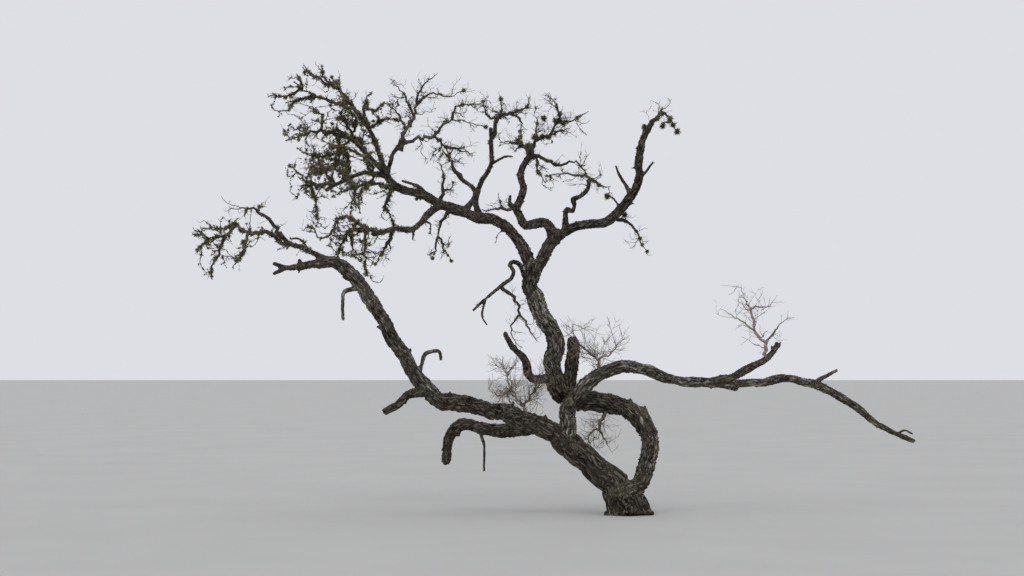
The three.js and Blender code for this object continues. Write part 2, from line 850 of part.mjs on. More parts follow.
// The point of the given lines nearest to a place, never their very tip
function nearestPoint(lines, target) {
  let best = null;
  let least = Infinity;
  for (const line of lines) {
    for (let k = 0; k < line.points.length - 1; k += 1) {
      const distance = line.points[k].distanceTo(target);
      if (distance < least) {
        least = distance;
        best = line.points[k];
      }
    }
  }
  return best;
}

// Waypoints in their real places, the first moved onto the lines that they grow from
function rooted(route, lines) {
  const waypoints = route.map(place);
  waypoints[0] = nearestPoint(lines, waypoints[0]).clone();
  return waypoints;
}

// Everything that is grown is kept as rods: segments with a radius and an owner
const rods = [];

function recordRods(owner, line) {
  for (let k = 0; k < line.points.length - 1; k += 1) {
    const radius = Math.max(line.radii[k], line.radii[k + 1]);
    rods.push({ owner, start: line.points[k], end: line.points[k + 1], radius });
  }
}

// The least distance between two segments
function segmentDistance(a0, a1, b0, b1) {
  const u = a1.clone().sub(a0);
  const v = b1.clone().sub(b0);
  const w = a0.clone().sub(b0);
  const uu = u.dot(u);
  const uv = u.dot(v);
  const vv = v.dot(v);
  const uw = u.dot(w);
  const vw = v.dot(w);
  const spread = uu * vv - uv * uv;
  let s = spread > 1e-9 ? THREE.MathUtils.clamp((uv * vw - vv * uw) / spread, 0, 1) : 0;
  const t = THREE.MathUtils.clamp((uv * s + vw) / vv, 0, 1);
  s = THREE.MathUtils.clamp((uv * t - uw) / uu, 0, 1);
  return w.addScaledVector(u, s).addScaledVector(v, -t).length();
}

// Whether a twig keeps clear of every limb and of every other mass
function isClear(owner, line) {
  for (let k = 0; k < line.points.length - 1; k += 1) {
    for (const rod of rods) {
      if (rod.owner === owner) continue;
      const needed = rod.radius + line.radii[k] + TWIG_GAP;
      if (segmentDistance(line.points[k], line.points[k + 1], rod.start, rod.end) < needed) return false;
    }
  }
  return true;
}

// The limbs and their stubs, each cut clear of the ones before it
const limbs = new Map();

function growLimb(spec, number) {
  const roll = dice(1000 + 37 * number);
  const parent = spec.from ? limbs.get(spec.from).lines : null;
  const waypoints = parent ? rooted(spec.route, parent) : spec.route.map(place);
  const main = makeLine(waypoints, spec.thick, spec.step ?? LIMB_STEP, GNARL, KNOB, roll);
  const lines = [main];
  for (const stub of spec.stubs ?? []) {
    lines.push(makeLine(rooted(stub.route, [main]), stub.thick, STUB_STEP, GNARL, KNOB, roll));
  }
  const build = (grow) => {
    const parts = lines.map((line, k) =>
      bentRod(line, { sides: k ? STUB_SIDES : spec.sides, grow, flared: spec.name === "trunk" }));
    return wasm.Manifold.union(parts);
  };
  let solid = build(0);
  for (const earlier of limbs.values()) solid = solid.subtract(earlier.grown);
  if (spec.name === "trunk") solid = solid.subtract(groundBlock());
  limbs.set(spec.name, { lines, solid: largest(solid), grown: build(JOINT_GAP) });
  lines.forEach((line) => recordRods(spec.name, line));
}

// All that lies below the ground
function groundBlock() {
  const block = new THREE.BoxGeometry(CUT_BLOCK, CUT_BLOCK, CUT_BLOCK);
  block.translate(0, 0, -CUT_BLOCK / 2);
  return toSolid(block);
}

// The leaders of a mass, each branching off the ones before it
function growLeaders(spec, number) {
  const roll = dice(5000 + 53 * number);
  const leaders = [];
  for (const route of spec.leaders) {
    const stem = leaders.length === 0;
    const from = stem ? limbs.get(spec.from).lines : leaders;
    const thick = stem ? STEM_THICK : LEADER_THICK;
    leaders.push(makeLine(rooted(route, from), thick, LEADER_STEP, LEADER_GNARL, 0, roll));
  }
  leaders.forEach((line) => recordRods(spec.name, line));
  return leaders;
}

// The space of a mass: the box round its leaders, widened on all sides
function massSpace(leaders) {
  const space = new THREE.Box3();
  for (const line of leaders) {
    for (const point of line.points) space.expandByPoint(point);
  }
  space.expandByScalar(SPACE_MARGIN);
  space.min.z = Math.max(space.min.z, LOWEST_TWIG);
  return space;
}

// A crooked twig that leaves a line at a point, in a direction turned out from its own
function twigLine(origin, direction, length, radius, roll) {
  const phase = 2 * Math.PI * roll();
  const lean = 0.65 + 0.6 * roll();
  const side = square(direction).applyAxisAngle(direction, phase);
  const first = direction.clone().multiplyScalar(Math.cos(lean)).addScaledVector(side, Math.sin(lean));
  const bend = new THREE.Vector3(roll() - 0.5, roll() - 0.5, roll() - 0.35);
  const second = first.clone().addScaledVector(bend, 2 * TWIG_BEND).normalize();
  const middle = origin.clone().addScaledVector(first, 0.5 * length);
  const end = middle.clone().addScaledVector(second, 0.5 * length);
  return { points: [origin.clone(), middle, end], radii: [radius, 0.8 * radius, 0] };
}

// Side twigs along a line, some with a spur at their bend
function throwTwigs(spec, line, space, roll, grown) {
  const spacing = spec.spacing ?? DENSE;
  const along = tangents(line.points);
  let wait = spacing * (0.3 + 0.5 * roll());
  for (let k = 0; k < line.points.length - 1; k += 1) {
    const length = line.points[k].distanceTo(line.points[k + 1]);
    let at = wait;
    while (at < length) {
      const origin = line.points[k].clone().lerp(line.points[k + 1], at / length);
      const radius = TWIG_SHARE * THREE.MathUtils.lerp(line.radii[k], line.radii[k + 1], at / length);
      const twig = twigLine(origin, along[k], spec.reach * (0.5 + 0.5 * roll()), radius, roll);
      const spur = spurLine(twig, roll);
      for (const wood of roll() < SPUR_SHARE ? [twig, spur] : [twig]) {
        if (!fits(spec, wood, space)) break;
        grown.push(wood);
        recordRods(spec.name, wood);
      }
      at += spacing * (0.6 + 0.8 * roll());
    }
    wait = at - length;
  }
}

// A spur is short and straight, and turns off at the twig's bend
function spurLine(twig, roll) {
  const [base, middle] = twig.points;
  const onward = middle.clone().sub(base);
  const length = onward.length() * (0.7 + 0.6 * roll());
  const side = square(onward.normalize()).applyAxisAngle(onward, 2 * Math.PI * roll());
  const direction = onward.multiplyScalar(Math.cos(SPUR_LEAN)).addScaledVector(side, Math.sin(SPUR_LEAN));
  const end = middle.clone().addScaledVector(direction, length);
  return { points: [middle.clone(), end], radii: [SPUR_THICKNESS * twig.radii[1], 0] };
}

// Whether a twig stays in its mass's space and touches no limb and no other mass
function fits(spec, wood, space) {
  return wood.points.every((point) => space.containsPoint(point)) && isClear(spec.name, wood);
}

// A mass: its leaders and twigs fused into one body, cut clear of every limb
function growMass(spec, leaders, number) {
  const roll = dice(9000 + 71 * number);
  const space = massSpace(leaders);
  const twigs = [];
  for (const line of leaders) throwTwigs(spec, line, space, roll, twigs);
  const parts = leaders.map((line, k) =>
    bentRod(line, { sides: k ? TWIG_SIDES : STEM_SIDES, pointed: true }));
  for (const twig of twigs) parts.push(bentRod(twig, { sides: TWIG_SIDES, pointed: true }));
  let solid = wasm.Manifold.union(parts);
  for (const limb of limbs.values()) solid = solid.subtract(limb.grown);
  return largest(solid);
}

function makeMesh(name, solid, look) {
  const mesh = new THREE.Mesh(toGeometry(solid), new THREE.MeshStandardMaterial(look));
  mesh.name = name;
  return mesh;
}

const tree = new THREE.Group();
LIMBS.forEach(growLimb);
for (const [name, limb] of limbs) tree.add(makeMesh(name, limb.solid, BARK));

const allLeaders = MASSES.map(growLeaders);
MASSES.forEach((spec, number) => {
  tree.add(makeMesh(spec.name, growMass(spec, allLeaders[number], number), DEAD_TWIG));
});

export default tree;
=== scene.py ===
"""The looks of a dead tree: the bark of its trunk and boughs, its twigs down to the finest, the
lichen and moss on them, and a plain studio with the camera.

Lengths are in metres, but the waypoints and diameters in the tables are in millimetres.
"""

import json
import logging
import math
from dataclasses import dataclass
from enum import Enum

import bmesh
import bpy
import numpy as np
from mathutils import Matrix, Vector, noise

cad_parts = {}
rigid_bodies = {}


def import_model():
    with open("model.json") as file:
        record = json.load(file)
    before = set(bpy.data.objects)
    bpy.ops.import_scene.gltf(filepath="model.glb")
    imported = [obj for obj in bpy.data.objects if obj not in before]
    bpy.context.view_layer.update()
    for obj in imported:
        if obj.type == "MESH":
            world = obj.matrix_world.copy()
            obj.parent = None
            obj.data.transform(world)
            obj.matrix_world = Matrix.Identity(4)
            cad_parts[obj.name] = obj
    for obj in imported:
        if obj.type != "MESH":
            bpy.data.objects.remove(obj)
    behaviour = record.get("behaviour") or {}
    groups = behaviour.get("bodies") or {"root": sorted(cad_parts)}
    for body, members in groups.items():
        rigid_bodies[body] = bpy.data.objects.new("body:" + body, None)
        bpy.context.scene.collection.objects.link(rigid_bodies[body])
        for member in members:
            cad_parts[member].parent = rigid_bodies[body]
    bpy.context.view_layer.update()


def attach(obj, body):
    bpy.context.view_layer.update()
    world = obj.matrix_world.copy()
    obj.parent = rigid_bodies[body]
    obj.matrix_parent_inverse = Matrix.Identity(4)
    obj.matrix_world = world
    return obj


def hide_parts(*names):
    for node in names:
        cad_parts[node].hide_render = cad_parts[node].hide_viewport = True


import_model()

Array = np.ndarray
Waypoint = tuple[float, float, float]
Colour = tuple[float, float, float]
Span = tuple[float, float]
Socket = bpy.types.NodeSocket
Body = bmesh.types.BMesh

LOG = logging.getLogger("dead_tree")
MM = 0.001

# What the noise starts from, so that each run gives the same tree
NOISE_SEED = 23

# Waypoints are [across, up, depth] as seen from the front by an eye at this place
EYE_DISTANCE = 24.0
EYE_ACROSS = -1.45
EYE_UP = 1.7

# The source's rule for limbs: rings, how far the wood strays and swells, and the root flare
LIMB_STEP = 195
STUB_STEP = 170
GNARL = 0.16
KNOB = 0.14
FLARE_SPREAD = 0.15
FLARE_HEIGHT = 0.29
FLARE_LOBES = 5
FLARE_LOBE_DEPTH = 0.28

# The ridges at the foot: how many, how high they start, how far out they reach, their radii, their
# places in the round, how far out and how high they bend as shares, and how deep they end
RIDGES = 6
RIDGE_START = 0.40
RIDGE_REACH = 0.205
RIDGE_RADII = (0.095, 0.080, 0.058)
RIDGE_TURN = (0.2, 0.8)
RIDGE_KNEE = (0.62, 0.42)
RIDGE_END = -0.05

# The source's rule for twigs. Where a rule is two numbers, the throw lies between the first and
# the sum of both.
LEADER_STEP = 260
LEADER_GNARL = 0.5
STEM_THICK = (54, 44, 34, 24)
LEADER_THICK = (38, 30, 22)
FIRST_WAIT = (0.3, 0.5)
NEXT_WAIT = (0.6, 0.8)
TWIG_LENGTH = (0.5, 0.5)
TWIG_LEAN = (0.65, 0.6)
TWIG_SHARE = 0.52
TWIG_GAP = 0.006
TWIG_BEND = 0.55
TWIG_RISE = 0.35
TWIG_WAIST = 0.8
SPUR_SHARE = 0.4
SPUR_LENGTH = (0.7, 0.6)
SPUR_LEAN = 0.9
SPUR_THICKNESS = 0.6
DENSE = 240
SPARSE = 320
SPACE_MARGIN = 0.21
LOWEST_TWIG = 0.12

# The seeds of limbs, leaders and twigs: the first one's, and how much the next one's is more
LIMB_SEEDS = (1000, 37)
LEADER_SEEDS = (5000, 53)
TWIG_SEEDS = (9000, 71)

# Below these, a length and a product of four lengths count as nothing
NO_LENGTH = 1e-12
NO_SPREAD = 1e-21

# How far finer twigs may pass the solids of their region, and of their own mass
SPACE_SLACK = 0.03
MASS_SLACK = 0.12


class Cover(Enum):
    """How thickly lichen and moss grow on a mass of twigs."""

    THICK = "thick"
    PATCHY = "patchy"
    BARE = "bare"
    WEATHERED = "weathered"


class Region(Enum):
    """The parts of the tree that its twigs are joined in."""

    CROWN_LEFT = "crown_left"
    CROWN_MIDDLE = "crown_middle"
    CROWN_RIGHT = "crown_right"
    FAR_LEFT = "far_left"
    LOWER = "lower"


THICK, PATCHY, BARE, WEATHERED = Cover
CROWN_LEFT, CROWN_MIDDLE, CROWN_RIGHT, FAR_LEFT, LOWER = Region


@dataclass(frozen=True)
class StubPlan:
    """A short side piece of a limb: its diameters from foot to tip and its waypoints."""

    thick: tuple[float, ...]
    route: tuple[Waypoint, ...]


@dataclass(frozen=True)
class LimbPlan:
    """A limb: what it grows from, its diameters from foot to tip, its waypoints and its stubs."""

    name: str
    parent: str
    thick: tuple[float, ...]
    route: tuple[Waypoint, ...]
    step: float = LIMB_STEP
    stubs: tuple[StubPlan, ...] = ()


@dataclass(frozen=True)
class MassPlan:
    """A mass of twigs: the bough it grows from, its longest twig, its looks and its leaders."""

    name: str
    parent: str
    reach: float
    region: Region
    cover: Cover
    spacing: float
    leaders: tuple[tuple[Waypoint, ...], ...]


# The limbs, from the ground up. A limb starts inside the nearest part of the one it grows from.
LIMBS = (
    LimbPlan("trunk", "", (300, 285, 290, 310, 325), (
        (0, -40, 0), (-40, 150, 5), (-200, 400, 20), (-475, 650, 60), (-700, 862, 110), (-830, 1010, 150),
    ), step=110),
    LimbPlan("low_limb", "trunk", (270, 225, 205, 190), (
        (-812, 990, 150), (-1162, 1125, 40), (-1537, 1250, -150), (-2000, 1360, -400), (-2340, 1415, -585),
        (-2490, 1510, -650),
    )),
    LimbPlan("left_stem", "low_limb", (165, 175, 185, 165, 150, 135), (
        (-2460, 1500, -640), (-2620, 1710, -715), (-2850, 2050, -840), (-3150, 2575, -1020),
        (-3325, 2825, -1120), (-3500, 3012, -1200), (-3700, 3150, -1290), (-3900, 3125, -1350),
    ), stubs=(
        StubPlan((60, 40), (
            (-2640, 1800, -740), (-2525, 2000, -700), (-2362, 2037, -640), (-2337, 1925, -600),
        )),
        StubPlan((65, 38), (
            (-3375, 2837, -1130), (-3537, 2787, -1200), (-3562, 2612, -1250), (-3562, 2425, -1280),
        )),
    )),
    LimbPlan("left_tip", "left_stem", (112, 95, 70, 45), (
        (-3900, 3125, -1350), (-4100, 3100, -1410), (-4287, 3075, -1470), (-4437, 3137, -1500),
    ), stubs=(
        StubPlan((60, 40), ((-4270, 3080, -1465), (-4437, 3000, -1520))),
        StubPlan((50, 35), ((-4080, 3110, -1405), (-4112, 3187, -1440))),
    )),
    LimbPlan("left_spur", "left_stem", (115, 105, 90), (
        (-2530, 1580, -675), (-2725, 1487, -760), (-2900, 1362, -860), (-3037, 1275, -930),
    )),
    LimbPlan("back_limb", "low_limb", (180, 170, 150, 110), (
        (-1200, 1130, 20), (-1537, 1050, 260), (-1850, 1087, 420), (-2075, 1125, 520), (-2225, 975, 600),
        (-2275, 650, 680),
    ), stubs=(
        StubPlan((50, 30), ((-1790, 1080, 390), (-1800, 850, 330), (-1800, 540, 300))),
    )),
    LimbPlan("arch_leg", "trunk", (215, 200, 220, 225, 235, 245), (
        (-70, 210, 30), (40, 310, 70), (140, 425, 110), (230, 575, 170), (280, 800, 240), (270, 960, 280),
        (216, 1130, 320), (110, 1290, 350),
    )),
    LimbPlan("arch_beam", "arch_leg", (222, 235, 240, 250, 245), (
        (110, 1280, 350), (-69, 1354, 360), (-287, 1390, 375), (-537, 1420, 390), (-760, 1470, 400),
        (-880, 1570, 400), (-920, 1720, 400),
    )),
    LimbPlan("upright", "arch_beam", (215, 225, 220, 215, 215), (
        (-910, 1680, 400), (-930, 1880, 400), (-930, 2212, 380), (-1075, 2525, 360), (-1212, 2837, 345),
        (-1200, 2987, 345), (-1170, 3125, 350),
    )),
    LimbPlan("upright_stub", "arch_beam", (150, 155, 150), (
        (-720, 1460, 395), (-706, 1850, 470), (-690, 2175, 540),
    )),
    LimbPlan("left_bough", "upright", (148, 140, 135, 122, 112, 92), (
        (-1185, 3090, 350), (-1362, 3400, 430), (-1512, 3575, 520), (-1700, 3687, 600), (-1850, 3700, 660),
        (-2050, 3775, 740), (-2350, 3875, 850), (-2490, 3970, 900), (-2787, 4050, 1000),
        (-2925, 4112, 1030), (-3012, 4225, 1060), (-3050, 4337, 1080),
    ), stubs=(
        StubPlan((56, 46, 34), ((-2450, 3950, 890), (-2600, 4090, 930), (-2830, 4170, 990))),
        StubPlan((28, 14), ((-1600, 3620, 560), (-1625, 3500, 540), (-1656, 3380, 530))),
    )),
    LimbPlan("right_bough", "upright", (155, 150, 182, 165), (
        (-1160, 3080, 350), (-1070, 3225, 310), (-970, 3362, 250), (-905, 3450, 200), (-870, 3545, 150),
    )),
    LimbPlan("middle_bough", "right_bough", (135, 125, 100, 95, 75), (
        (-890, 3500, 160), (-1025, 3635, 230), (-1137, 3631, 290), (-1230, 3600, 330), (-1305, 3630, 370),
        (-1365, 3731, 410), (-1400, 3819, 440), (-1337, 3950, 500), (-1312, 4075, 550), (-1337, 4225, 600),
        (-1312, 4350, 640), (-1225, 4512, 680), (-1225, 4625, 700),
    ), stubs=(
        StubPlan((62, 30), ((-1390, 3810, 440), (-1475, 3890, 410), (-1470, 3990, 390))),
    )),
    LimbPlan("right_crown_bough", "right_bough", (132, 118, 115, 95, 62), (
        (-862, 3525, 150), (-650, 3600, 20), (-250, 3662, -230), (-87, 3812, -360), (62, 4000, -450),
        (137, 4187, -540), (137, 4412, -650), (187, 4650, -760), (325, 4937, -870),
    ), stubs=(
        StubPlan((50, 26), ((137, 4200, -545), (212, 4262, -600), (325, 4412, -640))),
        StubPlan((55, 26), ((62, 4000, -450), (-100, 4237, -400), (-150, 4362, -380))),
        StubPlan((45, 22), ((180, 4700, -780), (212, 4887, -820))),
        StubPlan((34, 22), ((-95, 3810, -355), (-175, 3945, -330), (-290, 4005, -310))),
    )),
    LimbPlan("small_mid_bough", "right_crown_bough", (75, 65, 52), (
        (-780, 3590, 90), (-790, 3755, 70), (-762, 3812, 50), (-690, 3790, 0), (-665, 3870, -40),
        (-680, 3935, -60), (-575, 3987, -110), (-495, 4070, -160), (-487, 4155, -180),
    )),
    LimbPlan("inner_bough", "left_bough", (85, 75, 62, 52), (
        (-1925, 3725, 690), (-1912, 3887, 640), (-1825, 4175, 560), (-1712, 4387, 480), (-1712, 4612, 400),
        (-1719, 4837, 320),
    ), stubs=(
        StubPlan((42, 20), ((-1712, 4387, 480), (-1537, 4475, 420), (-1437, 4475, 380))),
    )),
    LimbPlan("forked_bough", "left_bough", (70, 58, 46), (
        (-1990, 3750, 720), (-1935, 3950, 790), (-1935, 4080, 840), (-2087, 4200, 930), (-2200, 4350, 1010),
    )),
    LimbPlan("low_bough", "left_bough", (90, 80, 72, 66), (
        (-2400, 3875, 850), (-2487, 3775, 700), (-2675, 3562, 400), (-2925, 3562, 120), (-3187, 3500, -130),
    ), stubs=(
        StubPlan((38, 20), ((-2550, 3700, 600), (-2475, 3637, 560), (-2475, 3500, 540))),
        StubPlan((36, 20), ((-2690, 3562, 380), (-2695, 3425, 360))),
    )),
    LimbPlan("hook_bough", "upright", (68, 60, 55, 48, 34), (
        (-1230, 2900, 345), (-1312, 3000, 220), (-1350, 3112, 160), (-1425, 3155, 110), (-1475, 3112, 70),
        (-1437, 3040, 30), (-1462, 2950, -10), (-1587, 2850, -80), (-1775, 2700, -190), (-1937, 2543, -290),
    ), stubs=(
        StubPlan((34, 22), ((-1862, 2610, -240), (-1825, 2487, -270), (-1762, 2362, -290))),
    )),
    LimbPlan("foot_bough", "upright", (95, 105, 92, 80, 60), (
        (-925, 1700, 400), (-1110, 1680, 320), (-1237, 1730, 260), (-1290, 1925, 200), (-1375, 2020, 160),
        (-1462, 2110, 120), (-1540, 2260, 90),
    )),
    LimbPlan("right_limb", "trunk", (200, 180, 150, 130, 120), (
        (-770, 960, 130), (-745, 1300, 80), (-600, 1550, 70), (-350, 1737, 110), (-37, 1837, 220),
        (275, 1787, 380), (650, 1662, 600), (1150, 1625, 850), (1362, 1587, 950),
    )),
    LimbPlan("right_limb_end", "right_limb", (106, 98, 118, 105, 88, 60), (
        (1362, 1587, 950), (1700, 1650, 1060), (2025, 1687, 1150), (2525, 1537, 1300), (2900, 1287, 1390),
        (3162, 1087, 1450), (3562, 912, 1510),
    ), stubs=(
        StubPlan((62, 40), ((2300, 1600, 1240), (2375, 1670, 1220), (2612, 1800, 1180))),
        StubPlan((40, 22), ((3330, 1030, 1470), (3440, 1050, 1440), (3550, 1000, 1420))),
    )),
    LimbPlan("right_rise", "right_limb", (112, 98, 85), (
        (980, 1630, 770), (1312, 1712, 760), (1525, 1825, 700), (1750, 1962, 620), (1875, 2125, 570),
    )),
    LimbPlan("far_left_bough", "left_stem", (78, 62, 48), (
        (-3820, 3140, -1325), (-3980, 3287, -1400), (-4100, 3337, -1430), (-4262, 3400, -1470),
        (-4362, 3525, -1500),
    ), step=90, stubs=(
        StubPlan((36, 20), ((-4010, 3310, -1405), (-4110, 3437, -1370), (-4237, 3437, -1340))),
    )),
    LimbPlan("crown_bough_top", "left_bough", (78, 62, 52, 42), (
        (-3050, 4337, 1080), (-3125, 4512, 1050), (-3200, 4737, 1000), (-3375, 5012, 940),
        (-3537, 5225, 900),
    ), step=120),
    LimbPlan("crown_bough_left", "left_bough", (70, 58, 46), (
        (-3020, 4240, 1062), (-3175, 4400, 900), (-3412, 4650, 650), (-3662, 4825, 450),
    )),
    LimbPlan("crown_bough_low", "left_bough", (70, 58, 46), (
        (-2990, 4190, 1050), (-3325, 4275, 1150), (-3537, 4187, 1250), (-3787, 4050, 1350),
    )),
    LimbPlan("crown_bough_mid", "left_bough", (70, 60, 50), (
        (-3035, 4300, 1075), (-2940, 4520, 1210), (-2800, 4700, 1300),
    ), step=90),
)

